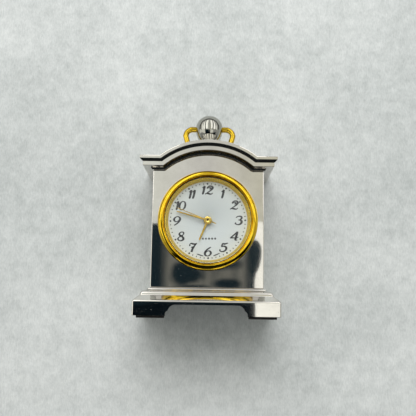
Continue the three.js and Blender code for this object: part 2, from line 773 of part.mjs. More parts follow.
place(insert, "hour_hand", hand({
  length: 5.8, tail: 0, baseWidth: 0.52, tipWidth: 0.4, hub: 1.12, bore: 0.82,
  front: -0.2, back: -0.08, hubFront: -0.22, hubBack: 0.08, turn: HOUR * 30,
}), GOLD);
place(insert, "minute_hand", hand({
  length: 8.85, tail: 0, baseWidth: 0.46, tipWidth: 0.34, hub: 1.08, bore: 0.42,
  front: -0.56, back: -0.44, hubFront: -0.6, hubBack: -0.3, turn: MINUTE * 6,
}), GOLD);
place(insert, "second_hand", hand({
  length: 9.1, tail: 2.4, baseWidth: 0.26, tipWidth: 0.2, hub: 0.86, bore: 0.16,
  front: -0.9, back: -0.82, hubFront: -1.05, hubBack: -0.7, turn: SECOND * 6,
}), GOLD);

// ---- Movement: plates, motor, circuit and battery ----

const BATTERY = { x: -4.16, z: -4.16, radius: 2.9 };
const SCREWS = [[-7.6, 0.9], [4.9, 4.9], [5.6, -3.4]];
const COIL = { z: 6.95, half: 3.6 };

// Bearing hole in a plate for an arbor that stands at [x, y, z].
const bearing = ([x, , z], radius) => solid(prism(circle(x, z, radius), 0, 9, 6));

function mainPlate() {
  const plate = solid(disc(MOVEMENT_RADIUS, PLATE_FRONT, PLATE_BACK, 36));
  const hub = solid(prism(circle(0, 0, 0.9), 1.56, PLATE_BACK));
  const pins = [[SETTING_PLACE, 0, 0], along(MINUTE_WHEEL_AT, MOTION_DISTANCE)].map(([x, , z]) =>
    solid(prism(circle(x, z, 0.16), 0.98, PLATE_BACK)),
  );
  const pillars = SCREWS.map(([x, z]) =>
    solid(prism(circle(x, z, 0.75), PLATE_BACK - 0.3, BRIDGE_FRONT - GAP)),
  );
  const channel = box(4, 9.5, STEM_DEPTH - 0.85, STEM_DEPTH + 0.85, -0.85, 0.85);
  return cut(
    join(plate, hub, ...pins, ...pillars),
    solid(channel),
    bearing([0, 0, 0], 0.36),
    bearing(along(THIRD_AT, TRAIN_DISTANCE), PIVOT_HOLE),
    bearing(along(FIFTH_AT, FIFTH_DISTANCE), PIVOT_HOLE),
    bearing(along(FIFTH_AT, FIFTH_DISTANCE + ROTOR_DISTANCE), PIVOT_HOLE),
    ...SCREWS.map(([x, z]) => bearing([x, 0, z], BRIDGE_SCREW_HOLE)),
  );
}

function trainBridge() {
  const outline = polygon([
    [-8.3, 0.2], [-7.2, -0.6], [-2.2, -0.9], [1.2, -3.6], [5.6, -4.3], [6.3, -3.4],
    [5.2, 0.6], [5.8, 4.9], [4.9, 5.4], [-1.6, 5.4], [-3.2, 3.2], [-8.1, 1.9],
  ]);
  return cut(
    solid(prism(outline, BRIDGE_FRONT, BRIDGE_BACK)),
    bearing([0, 0, 0], 0.18),
    bearing(along(THIRD_AT, TRAIN_DISTANCE), PIVOT_HOLE),
    bearing(along(FIFTH_AT, FIFTH_DISTANCE), PIVOT_HOLE),
    bearing(along(FIFTH_AT, FIFTH_DISTANCE + ROTOR_DISTANCE), PIVOT_HOLE),
    ...SCREWS.map(([x, z]) => bearing([x, 0, z], BRIDGE_SCREW_HOLE)),
  );
}

function bridgeScrew() {
  const under = BRIDGE_BACK + GAP;
  const section = [
    [0, 2.5],
    [BRIDGE_SCREW, 2.5],
    [BRIDGE_SCREW, under],
    [0.62, under],
    [0.62, 5.2],
    [0, 5.2],
  ];
  const body = turned(section, 14);
  return cut(solid(body), solid(box(-0.8, 0.8, 5.05, 6, -0.1, 0.1)));
}

function stator() {
  const rotorZ = FIFTH_DISTANCE + ROTOR_DISTANCE;
  const outline = polygon([
    [-5, 3.6], [-1.4, 3.25], [1.4, 3.25], [3.6, 3.6], [3.8, 5], [5, 5.9],
    [5, 7.4], [4, 7.4], [3.8, 5.75], [-3.8, 5.75], [-4, 7.4], [-5, 7.4],
  ]);
  withHole(outline, 0, rotorZ, 0.95);
  return prism(outline, 2.42, 2.72, 10);
}

const coilCore = () => box(-4.9, 4.9, 2.78, 3.08, COIL.z - 0.5, COIL.z + 0.5);

function coilWinding() {
  const outer = box(-COIL.half, COIL.half, 2.42, 3.9, COIL.z - 1, COIL.z + 1);
  const inner = box(-5, 5, 2.75, 3.11, COIL.z - 0.53, COIL.z + 0.53);
  const flanges = [-1, 1].map((side) =>
    solid(box(side * COIL.half - 0.15, side * COIL.half + 0.15, 2.4, 4.05, COIL.z - 1.08, COIL.z + 1.08)),
  );
  return cut(join(solid(outer), ...flanges), solid(inner));
}

function circuitBoard() {
  const outline = polygon([[-0.8, -4.75], [5.1, -4.75], [6.2, -5.5], [4.6, -7.4], [-0.8, -8.6]]);
  return prism(outline, 2.42, 2.72);
}

// A button cell, stepped in at its negative face.
function battery() {
  const { radius } = BATTERY;
  return turned([[0, 2.4], [2.3, 2.4], [2.3, 2.6], [radius, 2.7], [radius, 4.55], [0, 4.55]], 32);
}

// The clip that holds the battery: a strip across its back with a foot at each end.
function batteryClip() {
  const { x, z, radius } = BATTERY;
  const strip = box(x - radius - 0.7, x + radius + 0.65, 4.62, 4.8, z - 0.6, z + 0.6);
  const feet = [-1, 1].map((side) => {
    const middle = x + side * (radius + 0.4);
    return solid(box(middle - 0.2, middle + 0.2, PLATE_BACK + GAP, 4.7, z - 0.6, z + 0.6));
  });
  return join(solid(strip), ...feet);
}

place(insert, "main_plate", mainPlate(), BRASS);
place(insert, "train_bridge", trainBridge(), STEEL);
SCREWS.forEach(([x, z], i) => place(insert, `bridge_screw_${i + 1}`, bridgeScrew(), STEEL, [x, 0, z]));
place(insert, "stator", stator(), STEEL);
place(insert, "coil_core", coilCore(), STEEL);
place(insert, "coil_winding", coilWinding(), COPPER);
place(insert, "circuit_board", circuitBoard(), BOARD);
place(insert, "quartz_can", rod(0.7, 0.2, 5, 3.48, -6), STEEL);
place(insert, "driver_chip", box(0.2, 2.2, 2.74, 3.2, -7.95, -7.05), BLACK);
place(insert, "battery", battery(), STEEL, [BATTERY.x, 0, BATTERY.z]);
place(insert, "battery_clip", batteryClip(), STEEL);

// ---- Setting work: crown, stem, clutch and lever ----

// The stem lies along X from the clutch out to the crown, with a groove for the lever.
function stem() {
  const half = 0.22;
  return join(
    solid(box(4.15, 6.2, STEM_DEPTH - half, STEM_DEPTH + half, -half, half)),
    solid(rod(0.34, 6.1, 6.9, STEM_DEPTH, 0)),
    solid(rod(0.2, 6.8, 7.5, STEM_DEPTH, 0)),
    solid(rod(0.34, 7.4, 9.75, STEM_DEPTH, 0)),
  );
}

function clutch() {
  const half = 0.25;
  const body = rod(0.62, 4.45, 5.5, STEM_DEPTH, 0, 20);
  const square = box(4, 6, STEM_DEPTH - half, STEM_DEPTH + half, -half, half);
  const waist = rod(0.42, 4.6, 5.3, STEM_DEPTH, 0, 20);
  const groove = cut(solid(rod(0.9, 4.85, 5.1, STEM_DEPTH, 0, 20)), solid(waist));
  return cut(solid(body), solid(square), groove);
}

// A fluted crown with a hole for the stem.
function crown() {
  const flutes = 16;
  const points = [];
  for (let i = 0; i < flutes * 2; i++) {
    const angle = (i * Math.PI) / flutes;
    const radius = i % 2 ? 0.92 : 1.05;
    points.push([radius * Math.cos(angle), radius * Math.sin(angle)]);
  }
  const knob = column(polygon(points), 9.6, 11.15).rotateY(Math.PI / 2).translate(0, STEM_DEPTH, 0);
  return cut(solid(knob), solid(rod(0.36, 9, 9.8, STEM_DEPTH, 0)));
}

// The lever stands in the stem's groove and carries it in and out.
function settingLever() {
  const plate = box(6.98, 7.3, 1.18, 2.28, -0.6, 0.6);
  const arm = box(6.98, 7.3, 1.18, 1.42, -0.6, 2.4);
  const notch = box(6, 8, STEM_DEPTH - 0.26, 3, -0.26, 0.26);
  return cut(join(solid(plate), solid(arm)), solid(notch));
}

place(insert, "setting_stem", stem(), STEEL);
place(insert, "clutch_wheel", clutch(), STEEL);
place(insert, "crown", crown(), GOLD);
place(insert, "setting_lever", settingLever(), STEEL);

export default clock;
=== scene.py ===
"""A miniature mantel clock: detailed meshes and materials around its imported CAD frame.

Lengths in the dimension tables below are millimetres; meshes are made in metres. The clock stands on
z = 0 with its dial towards -Y. The insert's own pieces are measured back from the case's front face.
"""
import json
from math import asin, cos, pi, radians, sin

import bmesh
import bpy
from mathutils import Matrix, Vector


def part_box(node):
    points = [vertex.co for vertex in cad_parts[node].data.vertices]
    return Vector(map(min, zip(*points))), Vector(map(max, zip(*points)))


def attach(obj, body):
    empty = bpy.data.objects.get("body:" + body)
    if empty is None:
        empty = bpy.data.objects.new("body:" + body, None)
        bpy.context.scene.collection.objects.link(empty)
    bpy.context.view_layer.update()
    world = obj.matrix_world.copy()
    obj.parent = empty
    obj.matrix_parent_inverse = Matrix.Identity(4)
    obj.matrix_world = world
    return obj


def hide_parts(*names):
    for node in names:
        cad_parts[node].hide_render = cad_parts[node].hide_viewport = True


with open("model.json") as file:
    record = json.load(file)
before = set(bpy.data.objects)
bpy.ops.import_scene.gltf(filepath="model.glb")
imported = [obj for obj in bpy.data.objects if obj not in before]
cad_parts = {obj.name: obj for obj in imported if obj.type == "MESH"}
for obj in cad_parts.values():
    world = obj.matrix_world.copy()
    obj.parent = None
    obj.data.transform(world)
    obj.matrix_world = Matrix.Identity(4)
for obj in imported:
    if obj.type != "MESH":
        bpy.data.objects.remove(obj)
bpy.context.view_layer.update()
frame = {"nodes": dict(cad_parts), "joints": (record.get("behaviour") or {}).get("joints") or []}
MM = 0.001


# ---- Places read from the frame, in millimetres ----


def cad_box(node):
    low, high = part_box(node)
    return low / MM, high / MM


_, BASE_HIGH = cad_box("base_plinth")
BODY_LOW, BODY_HIGH = cad_box("body_shell")
_, ROOF_HIGH = cad_box("roof_cornice")
KNOB_LOW, KNOB_HIGH = cad_box("finial_knob")
BEZEL_LOW, BEZEL_HIGH = cad_box("bezel")

FACE = BODY_LOW.y  # plane of the case's front face
BACK = BODY_HIGH.y
BODY_HALF = BODY_HIGH.x
BODY_BOTTOM = BASE_HIGH.z
BASE_HALF = BASE_HIGH.x
DIAL_Z = (BEZEL_LOW.z + BEZEL_HIGH.z) / 2
DIAL_CENTRE = (0.0, DIAL_Z * MM)  # x and z, in metres
ARCH_RADIUS = ROOF_HIGH.z - DIAL_Z
SHOULDER = 43.15  # height of the cornice's flat ends
CORNICE_DROP = 3.45  # height of the cornice moulding
WALL = 1.6
BORE = 12.1  # radius of the hole for the insert
RIM = 3  # width of the base's wall
INSERT_TURN = -1.3  # degrees that the insert sits turned in its bore
SECOND = 48.8
MINUTE = 47 + SECOND / 60
HOUR = 6 + MINUTE / 60


# ---- Material nodes ----


def fill_ramp(node, stops):
    """Give a colour ramp its stops of (position, colour)."""
    elements = node.color_ramp.elements
    while len(elements) < len(stops):
        elements.new(0.5)
    for element, (place, tone) in zip(elements, stops):
        element.position = place
        element.color = tone if len(tone) == 4 else (*tone, 1)
    return node.outputs["Color"]


class Shader:
    """A material with one Principled shader, built socket by socket."""

    def __init__(self, name):
        self.material = bpy.data.materials.new(name)
        self.material.use_nodes = True
        self.nodes = self.material.node_tree.nodes
        self.links = self.material.node_tree.links
        self.bsdf = self.nodes["Principled BSDF"]
        self.coords = self.add("ShaderNodeTexCoord").outputs["Object"]

    def add(self, kind, inputs=None, **settings):
        node = self.nodes.new(kind)
        for key, value in settings.items():
            setattr(node, key, value)
        for key, value in (inputs or {}).items():
            self.feed(node.inputs[key], value)
        return node

    def feed(self, socket, value):
        if isinstance(value, bpy.types.NodeSocket):
            self.links.new(value, socket)
        else:
            socket.default_value = value

    def set(self, **values):
        for key, value in values.items():
            self.feed(self.bsdf.inputs[key.replace("_", " ")], value)
        return self

    def noise(self, scale, detail=3.0, roughness=0.55, vector=None, distortion=0.0):
        inputs = {"Scale": scale, "Detail": detail, "Roughness": roughness, "Distortion": distortion}
        inputs["Vector"] = vector or self.coords
        return self.add("ShaderNodeTexNoise", inputs).outputs["Fac"]

    def ramp(self, value, stops):
        return fill_ramp(self.add("ShaderNodeValToRGB", {"Fac": value}), stops)

    def spread(self, value, low, high, start=0.0, end=1.0):
        """The value, mapped from start..end to low..high and held there beyond the ends."""
        limits = {"From Min": start, "From Max": end, "To Min": low, "To Max": high}
        return self.add("ShaderNodeMapRange", {"Value": value, **limits}).outputs["Result"]

    def math(self, operation, first, second=0.0):
        return self.add("ShaderNodeMath", {0: first, 1: second}, operation=operation).outputs[0]

    def plus(self, first, second):
        return self.math("ADD", first, second)

    def times(self, first, second):
        return self.math("MULTIPLY", first, second)

    def grain(self, detail, x, y, z):
        """Noise drawn out along the axes with smaller scales."""
        return self.noise(1.0, detail, vector=self.scaled(x, y, z))

    def scaled(self, x, y, z):
        node = self.add("ShaderNodeMapping", {"Vector": self.coords, "Scale": (x, y, z)})
        return node.outputs["Vector"]

    def mix(self, share, first, second):
        node = self.add("ShaderNodeMix", data_type="RGBA")
        self.feed(node.inputs["Factor"], share)
        self.feed(node.inputs["A"], first)
        self.feed(node.inputs["B"], second)
        return node.outputs["Result"]

    def bump(self, height, distance, strength=1.0):
        inputs = {"Height": height, "Distance": distance, "Strength": strength}
        return self.set(Normal=self.add("ShaderNodeBump", inputs).outputs["Normal"])

    def axes(self):
        return self.add("ShaderNodeSeparateXYZ", {"Vector": self.coords}).outputs

    def polar(self, x, z):
        """Radius and angle (0 to 1) about the line along Y through x, z in metres."""
        apart = self.axes()
        across = self.math("SUBTRACT", apart["X"], x)
        up = self.math("SUBTRACT", apart["Z"], z)
        squares = self.plus(self.math("POWER", across, 2.0), self.math("POWER", up, 2.0))
        radius = self.math("SQRT", squares)
        angle = self.math("DIVIDE", self.math("ARCTAN2", up, across), 2 * pi)
        return radius, angle

    def emit(self, tone, strength):
        """Give the surface plain light of its own in place of the Principled shader."""
        light = self.add("ShaderNodeEmission", {"Color": tone, "Strength": strength})
        self.links.new(light.outputs[0], self.nodes["Material Output"].inputs["Surface"])
        return self.material


def colour(hexadecimal):
    """A display colour as linear RGBA."""
    channels = [int(hexadecimal[i : i + 2], 16) / 255 for i in (1, 3, 5)]
    linear = [c / 12.92 if c <= 0.04045 else ((c + 0.055) / 1.055) ** 2.4 for c in channels]
    return (*linear, 1)


def chrome(name, deep, light):
    """Nickel-chrome plate: a warm mirror with hairline scratches, specks and a slow ripple."""
    s = Shader(name)
    cloud = s.noise(180, 4)
    hair = s.grain(2, 900, 900, 60000)
    specks = s.noise(3400, 2, 0.6)
    tone = s.ramp(cloud, [(0.3, colour(deep)), (0.7, colour(light))])
    dust = s.ramp(specks, [(0.69, (0, 0, 0)), (0.75, (1, 1, 1))])
    rough = s.plus(s.spread(hair, 0.015, 0.075, 0.35, 0.75), s.times(dust, 0.18))
    s.set(Base_Color=tone, Metallic=s.spread(dust, 1.0, 0.5), Roughness=rough)
    ripple = s.noise(55, 2)
    height = s.plus(s.times(ripple, 0.6), s.times(hair, 0.004))
    return s.bump(height, 0.00003).material


def gold(name, light, deep, low=0.05, high=0.2):
    """Yellow gold plate with faint turning marks and cloudy wear."""
    s = Shader(name)
    cloud = s.noise(420, 4)
    fine = s.noise(7000, 3)
    s.set(
        Base_Color=s.ramp(cloud, [(0.32, colour(deep)), (0.62, colour(light))]),
        Metallic=1.0,
        Roughness=s.spread(fine, low, high, 0.3, 0.75),
    )
    return s.bump(s.noise(1600, 3), 0.000004).material


def sunray_gold(name, light, deep, rays):
    """Gold with fine radial ribs, as on the ring inside the crystal; the colour follows the ribs, paler
    on each crest and deeper in each groove, as painted highlight and shade.
    """
    s = Shader(name)
    _, angle = s.polar(*DIAL_CENTRE)
    ribs = s.math("SINE", s.times(angle, rays * 2 * pi))
    # painted highlight and shade: the colour runs from deep in each rib's groove to light on its crest
    tone = s.mix(s.spread(ribs, 0, 1, -1, 1), colour(deep), colour(light))
    s.set(Base_Color=tone, Metallic=1.0, Roughness=s.spread(s.noise(3000), 0.14, 0.3, 0.3, 0.7))
    return s.bump(ribs, 0.00003, 0.8).material


def enamel(name, middle, rim):
    """The dial's satin paint with a fine orange-peel skin; it is painted a little paler towards the rim,
    as painted light against the shade that the rings around the dial cast there.
    """
    s = Shader(name)
    radius, _ = s.polar(*DIAL_CENTRE)
    # painted light: the tone grows paler from the centre out to the rim, lifting the rim's shade
    tone = s.ramp(s.spread(radius, 0, 1, 0.0, 0.011), [(0.0, colour(middle)), (1.0, colour(rim))])
    s.set(Base_Color=tone, Roughness=s.spread(s.noise(2500), 0.42, 0.55), Specular_IOR_Level=0.35)
    return s.bump(s.noise(9000, 2), 0.000002).material


def ink(name, shade):
    s = Shader(name)
    tone = s.ramp(s.noise(4000, 2), [(0.3, colour(shade)), (0.75, colour("#2b2d30"))])
    s.set(Base_Color=tone, Roughness=s.spread(s.noise(6000), 0.35, 0.55))
    return s.material


def rubber(name, shade, lighter):
    s = Shader(name)
    grain = s.noise(6000, 4, 0.7)
    s.set(
        Base_Color=s.ramp(grain, [(0.3, colour(shade)), (0.8, colour(lighter))]),
        Roughness=s.spread(grain, 0.55, 0.85),
    )
    return s.bump(grain, 0.00002).material


def brushed(name, light, deep, centre=None, scale=1.0, low=0.16, high=0.36):
    """Machined metal: circular turning marks about a centre, or a straight grain along X."""
    s = Shader(name)
    if centre:
        radius, _ = s.polar(*centre)
        rings = s.add("ShaderNodeCombineXYZ", {"X": s.times(radius, 26000.0 * scale)})
        grain = s.noise(1.0, 3, vector=rings.outputs[0])
    else:
        grain = s.grain(3, 700 * scale, 9000 * scale, 26000 * scale)
    blotch = s.noise(900, 3)
    s.set(
        Base_Color=s.ramp(s.times(s.plus(grain, blotch), 0.5),
                          [(0.35, colour(deep)), (0.62, colour(light))]),
        Metallic=1.0,
        Roughness=s.spread(grain, low, high, 0.3, 0.7),
    )
    return s.bump(grain, 0.000006).material


def moulded(name, light, deep, gloss=0.45):
    s = Shader(name)
    grain = s.noise(5200, 4, 0.6)
    s.set(
        Base_Color=s.ramp(s.noise(700, 3), [(0.35, colour(deep)), (0.65, colour(light))]),
        Roughness=s.spread(grain, gloss - 0.08, gloss + 0.12),
    )
    return s.bump(grain, 0.000008).material


def circuit_green():
    s = Shader("solder_mask")
    bricks = {"Vector": s.scaled(1, 1, 1), "Scale": 1500.0, "Mortar Size": 0.06}
    tracks = s.add("ShaderNodeTexBrick", bricks).outputs["Fac"]
    tone = s.mix(tracks, colour("#1d5a37"), colour("#2f7a4a"))
    s.set(Base_Color=tone, Roughness=s.spread(s.noise(3000), 0.25, 0.4))
    return s.bump(tracks, 0.00001).material


def winding_copper():
    s = Shader("enamelled_copper")
    turns = s.math("SINE", s.times(s.axes()["X"], 95000.0))
    # painted shade and highlight: darker copper in the grooves between turns, lighter on their crowns
    tone = s.ramp(s.spread(turns, 0, 1, -1, 1), [(0.0, colour("#6b2f14")), (1.0, colour("#c9713a"))])
    s.set(Base_Color=tone, Metallic=0.85, Roughness=s.spread(s.noise(3000), 0.25, 0.4))
    return s.bump(turns, 0.00002).material


def clear_glass():
    s = Shader("mineral_glass")
    haze = s.spread(s.noise(4000), 0.0, 0.02)
    s.set(Base_Color=(1, 1, 1, 1), Roughness=haze, IOR=1.35, Transmission_Weight=1.0)
    return s.material


def cloth():
    """The pale cotton sheet behind the clock, seen from the front only."""
    s = Shader("white_sheet")
    folds = s.noise(16, 3, 0.5, distortion=0.4)
    weave = s.noise(1500, 3, 0.6)
    patches = s.noise(22, 4, 0.6)
    threads = s.grain(3, 2600, 2600, 900)
    mottle = s.plus(s.times(patches, 0.45), s.times(threads, 0.25))
    mottle = s.plus(mottle, s.times(s.noise(300, 4, 0.65), 0.3))
    tone = s.ramp(mottle, [(0.36, colour("#b6bbba")), (0.62, colour("#e0e3e2"))])
    s.set(Base_Color=tone, Roughness=0.95, Specular_IOR_Level=0.1)
    height = s.plus(s.times(folds, 1.0), s.times(weave, 0.02))
    s.bump(height, 0.0025)
    seen_from_behind = s.add("ShaderNodeNewGeometry").outputs["Backfacing"]
    clear = s.add("ShaderNodeBsdfTransparent").outputs[0]
    either = s.add("ShaderNodeMixShader", {0: seen_from_behind, 1: s.bsdf.outputs[0], 2: clear})
    s.links.new(either.outputs[0], s.nodes["Material Output"].inputs["Surface"])
    return s.material


CHROME = chrome("chrome_plate", "#d3d0ca", "#e2dfd9")
NICKEL = chrome("nickel_ball", "#a3a29b", "#b8b7ae")
BEZEL_GOLD = gold("bezel_gold", "#efcb3a", "#d9ae28", 0.05, 0.16)
WIRE_GOLD = gold("wire_gold", "#dab83a", "#a88722", 0.03, 0.1)
HAND_GOLD = gold("hand_gold", "#ecd272", "#cda944", 0.08, 0.18)
RAY_GOLD = sunray_gold("ribbed_gold", "#f4d648", "#d2a828", 240)
# the paler second tone is painted light at the dial's rim
DIAL_WHITE = enamel("dial_enamel", "#bac3c5", "#cad0cd")
INK = ink("dial_ink", "#14171b")
RUBBER = rubber("foot_rubber", "#0d0c0c", "#241b19")
GASKET = rubber("gasket_rubber", "#141210", "#2b2620")
BRASS = brushed("turned_brass", "#d6b25c", "#b08a38", DIAL_CENTRE)
STEEL = brushed("fine_steel", "#c6c8ca", "#8f9296")
# near-black steel for the seconds arbor's tip: partly blued steel's own tone, partly painted shade of
# the collet's bore
BLUED_BORE_SHADE = brushed("blued_steel_bore_shade", "#16181d", "#0a0b0e", DIAL_CENTRE)
SNAP_BACK = brushed("spun_steel", "#d0d1d1", "#9fa2a4", DIAL_CENTRE, 0.6)
CREAM = moulded("cream_nylon", "#dcd7c8", "#cbc5b4")
BLACK_CHIP = moulded("black_resin", "#26272a", "#15161a")
GREEN = circuit_green()
COPPER = winding_copper()
GLASS = clear_glass()
SHEET = cloth()


# ---- Mesh helpers ----


def linked(name, data):
    thing = bpy.data.objects.new(name, data)
    bpy.context.scene.collection.objects.link(thing)
    return thing


def baked(name, work):
    """The bmesh as a mesh; the bmesh is freed."""
    data = bpy.data.meshes.new(name)
    work.to_mesh(data)
    work.free()
    return data


def make_piece(name, mesh, finish, body, *replaced, smooth=30):
    """Turn a bmesh or mesh in metres into a piece of the clock that rides on a body."""
    if isinstance(mesh, bmesh.types.BMesh):
        bmesh.ops.recalc_face_normals(mesh, faces=mesh.faces)
        data = baked(name, mesh)
    else:
        data = mesh
    shade(data, smooth)
    data.materials.clear()
    data.materials.append(finish)
    piece = linked(name, data)
    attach(piece, body)
    if replaced:
        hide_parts(*replaced)
    return piece


def shade(data, angle):
    """Smooth faces with edges sharper than the angle kept crisp."""
    data.polygons.foreach_set("use_smooth", [True] * len(data.polygons))
    data.update()
    work = bmesh.new()
    work.from_mesh(data)
    limit = radians(angle)
    for edge in work.edges:
        edge.smooth = len(edge.link_faces) == 2 and edge.calc_face_angle(0) < limit
    work.to_mesh(data)
    work.free()


def bevelled(piece, width, segments=3, angle=35):
    """Round the piece's sharp edges by width in millimetres."""
    modifier = piece.modifiers.new("edges", "BEVEL")
    modifier.width = width * MM
    modifier.segments = segments
    modifier.limit_method = "ANGLE"
    modifier.angle_limit = radians(angle)
    modifier.harden_normals = True
    return piece


def flat_faced(piece):
    """Let broad faces keep their own normals, so that only the rounded arrises between them turn."""
    modifier = piece.modifiers.new("shading", "WEIGHTED_NORMAL")
    modifier.keep_sharp = True
    modifier.weight = 100
    return piece


def skin(rings, closed_ends=True):
    """A mesh through rings of equally many points, in millimetres."""
    work = bmesh.new()
    rows = [[work.verts.new(Vector(p) * MM) for p in ring] for ring in rings]
    count = len(rows[0])
    for low, high in zip(rows, rows[1:]):
        for i in range(count):
            j = (i + 1) % count
            work.faces.new((low[i], low[j], high[j], high[i]))
    if closed_ends:
        work.faces.new(list(reversed(rows[0])))
        work.faces.new(rows[-1])
    return work


def add_mesh(work, extra):
    """Move another bmesh's faces into this one."""
    data = baked("extra", extra)
    work.from_mesh(data)
    bpy.data.meshes.remove(data)
    return work


def lathe(section, segments, axis="Y", centre=(0, 0, 0)):
    """A section of (radius, distance along the axis) turned about Y or Z, closed unless it meets it."""
    work = bmesh.new()
    middle = Vector(centre)

    def place(radius, along, angle):
        across, up = radius * cos(angle), radius * sin(angle)
        point = (across, along, up) if axis == "Y" else (across, up, along)
        return (middle + Vector(point)) * MM

    columns = []
    for radius, along in section:
        if radius < 1e-6:
            columns.append([work.verts.new(place(0, along, 0))])
        else:
            angles = [2 * pi * i / segments for i in range(segments)]
            columns.append([work.verts.new(place(radius, along, angle)) for angle in angles])
    touching = section[0][0] < 1e-6 and section[-1][0] < 1e-6
    pairs = list(zip(columns, columns[1:])) + ([] if touching else [(columns[-1], columns[0])])
    for low, high in pairs:
        for i in range(segments):
            j = (i + 1) % segments
            ends = [low[i % len(low)], low[j % len(low)], high[j % len(high)], high[i % len(high)]]
            face = list(dict.fromkeys(ends))
            if len(face) > 2:
                work.faces.new(face)
    return work


def dial_lathe(section, segments):
    """A section of (radius, depth behind the case's face) turned about the dial's centre."""
    return lathe([(radius, FACE + y) for radius, y in section], segments, "Y", (0, 0, DIAL_Z))


def rounded(points, radius, steps=5):
    """A closed outline's 2-D corners, each turned into an arc of about this radius."""
    made = []
    count = len(points)
    for i, point in enumerate(points):
        here = Vector(point)
        before, after = Vector(points[i - 1]), Vector(points[(i + 1) % count])
        to_before, to_after = before - here, after - here
        reach = min(radius, to_before.length * 0.49, to_after.length * 0.49)
        start = here + to_before.normalized() * reach
        end = here + to_after.normalized() * reach
        for step in range(steps + 1):
            t = step / steps
            made.append(tuple(start * (1 - t) ** 2 + here * (2 * t * (1 - t)) + end * t * t))
    return made


def prism(outline, low, high, plane="XZ", holes=()):
    """An outline in millimetres drawn out from low to high, with its holes cut through."""

    def place(point, along):
        a, b = point
        spots = {"XZ": (a, along, b), "XY": (a, b, along), "YZ": (along, a, b)}
        return Vector(spots[plane]) * MM

    work = bmesh.new()
    loops = [outline, *holes]
    edges_low, edges_high = [], []
    for loop in loops:
        bottom = [work.verts.new(place(p, low)) for p in loop]
        top = [work.verts.new(place(p, high)) for p in loop]
        count = len(loop)
        for i in range(count):
            j = (i + 1) % count
            work.faces.new((bottom[i], bottom[j], top[j], top[i]))
            edges_low.append(work.edges.get((bottom[i], bottom[j])))
            edges_high.append(work.edges.get((top[i], top[j])))
    if holes:
        for edges in (edges_low, edges_high):
            bmesh.ops.triangle_fill(work, edges=edges, use_beauty=True)
    else:
        work.faces.new([e.verts[0] for e in edges_low])
        work.faces.new([e.verts[0] for e in edges_high])
    return work


def circle(x, z, radius, steps=48):
    angles = [2 * pi * i / steps for i in range(steps)]
    return [(x + radius * cos(a), z + radius * sin(a)) for a in angles]


def carve(piece, *cutters):
    """Cut closed meshes out of a piece and keep the result as its mesh."""
    for cutter in cutters:
        bmesh.ops.recalc_face_normals(cutter, faces=cutter.faces)
        tool = linked("cutter", baked("cutter", cutter))
        modifier = piece.modifiers.new("carve", "BOOLEAN")
        modifier.operation = "DIFFERENCE"
        modifier.solver = "EXACT"
        modifier.object = tool
        apply_modifiers(piece)
        bpy.data.objects.remove(tool)
    return piece


def apply_modifiers(piece):
    graph = bpy.context.evaluated_depsgraph_get()
    result = bpy.data.meshes.new_from_object(piece.evaluated_get(graph))
    piece.modifiers.clear()
    piece.data = result


def box_mesh(x0, x1, y0, y1, z0, z1):
    outline = [(x0, y0), (x1, y0), (x1, y1), (x0, y1)]
    return prism(outline, z0, z1, "XY")


# ---- Case ----


def arch_line(half, drop, steps=72):
    """Points (x, z) from left to right along the outline `drop` inside the cornice's top outline."""
    radius = ARCH_RADIUS - drop
    level = SHOULDER - drop
    start = asin((level - DIAL_Z) / radius)
    arc = []
    for i in range(steps + 1):
        angle = pi - start - (pi - 2 * start) * i / steps
        arc.append((radius * cos(angle), DIAL_Z + radius * sin(angle)))
    return [(-half, level), *arc, (half, level)]


def arch_outline(half, drop, bottom):
    return [(-half, bottom), (half, bottom), *reversed(arch_line(half, drop))]


# (projection from the body, drop below the top outline) down the cornice, with rounded arrises
CORNICE_PROFILE = [
    (3.08, 0.0), (3.2, 0.03), (3.28, 0.11), (3.3, 0.22), (3.3, 0.87), (3.27, 0.94), (2.66, 1.52),
    (2.56, 1.57), (2.5, 1.64), (2.5, 2.66), (2.47, 2.74), (2.4, 2.78), (0.55, 2.9), (0.18, 3.4),
    (0.1, 3.43),
]


def cornice():
    rings = []
    for projection, drop in CORNICE_PROFILE:
        line = arch_line(BODY_HALF + projection, drop)
        front = [(x, FACE - projection, z) for x, z in line]
        back = [(x, BACK, z) for x, z in reversed(line)]
        rings.append(front + back)
    work = skin(rings, closed_ends=False)
    work.verts.ensure_lookup_table()
    count = len(rings[0])
    half = count // 2
    for base, flip in ((0, True), ((len(rings) - 1) * count, False)):
        for i in range(half - 1):
            a, b = base + i, base + i + 1
            c, d = base + count - 2 - i, base + count - 1 - i
            corners = (a, b, c, d) if flip else (d, c, b, a)
            work.faces.new([work.verts[k] for k in corners])
    make_piece("cornice_moulding", work, CHROME, "case", "roof_cornice", smooth=8)


def body_shell():
    """The case's body: a box with an arched top, open at the back, with the insert's hole in front."""
    front_hole = circle(0, DIAL_Z, BORE, 160)
    cavity = arch_outline(BODY_HALF - WALL, CORNICE_DROP + WALL, BODY_BOTTOM + WALL)
    block = prism(arch_outline(BODY_HALF, CORNICE_DROP + 0.02, BODY_BOTTOM + 0.02), FACE, BACK)
    shell = make_piece("case_shell", block, CHROME, "case", "body_shell")
    rebate = arch_outline(BODY_HALF - 0.8, CORNICE_DROP + 0.9, BODY_BOTTOM + 0.9)
    carve(
        shell,
        prism(front_hole, FACE - 1, BACK + 1),
        prism(cavity, FACE + 2.4, BACK + 1),
        prism(rebate, BACK - 1.3, BACK + 1),
    )
    bevelled(shell, 0.45, 4, 40)


def base_ring(projection, height, steps=6):
    """The base's outline at one height: rounded front corners, square back corners."""
    half = BODY_HALF + projection
    front = FACE - projection
    round_off = min(0.55, projection / 2 + 0.05)
    line = []
    for side in (-1, 1):
        for i in range(steps + 1):
            share = i / steps if side > 0 else 1 - i / steps
            angle = share * pi / 2
            x = side * (half - round_off * (1 - sin(angle)))
            line.append((x, front + round_off * (1 - cos(angle)), height))
    return line + [(x, BACK, height) for x, _, _ in reversed(line)]


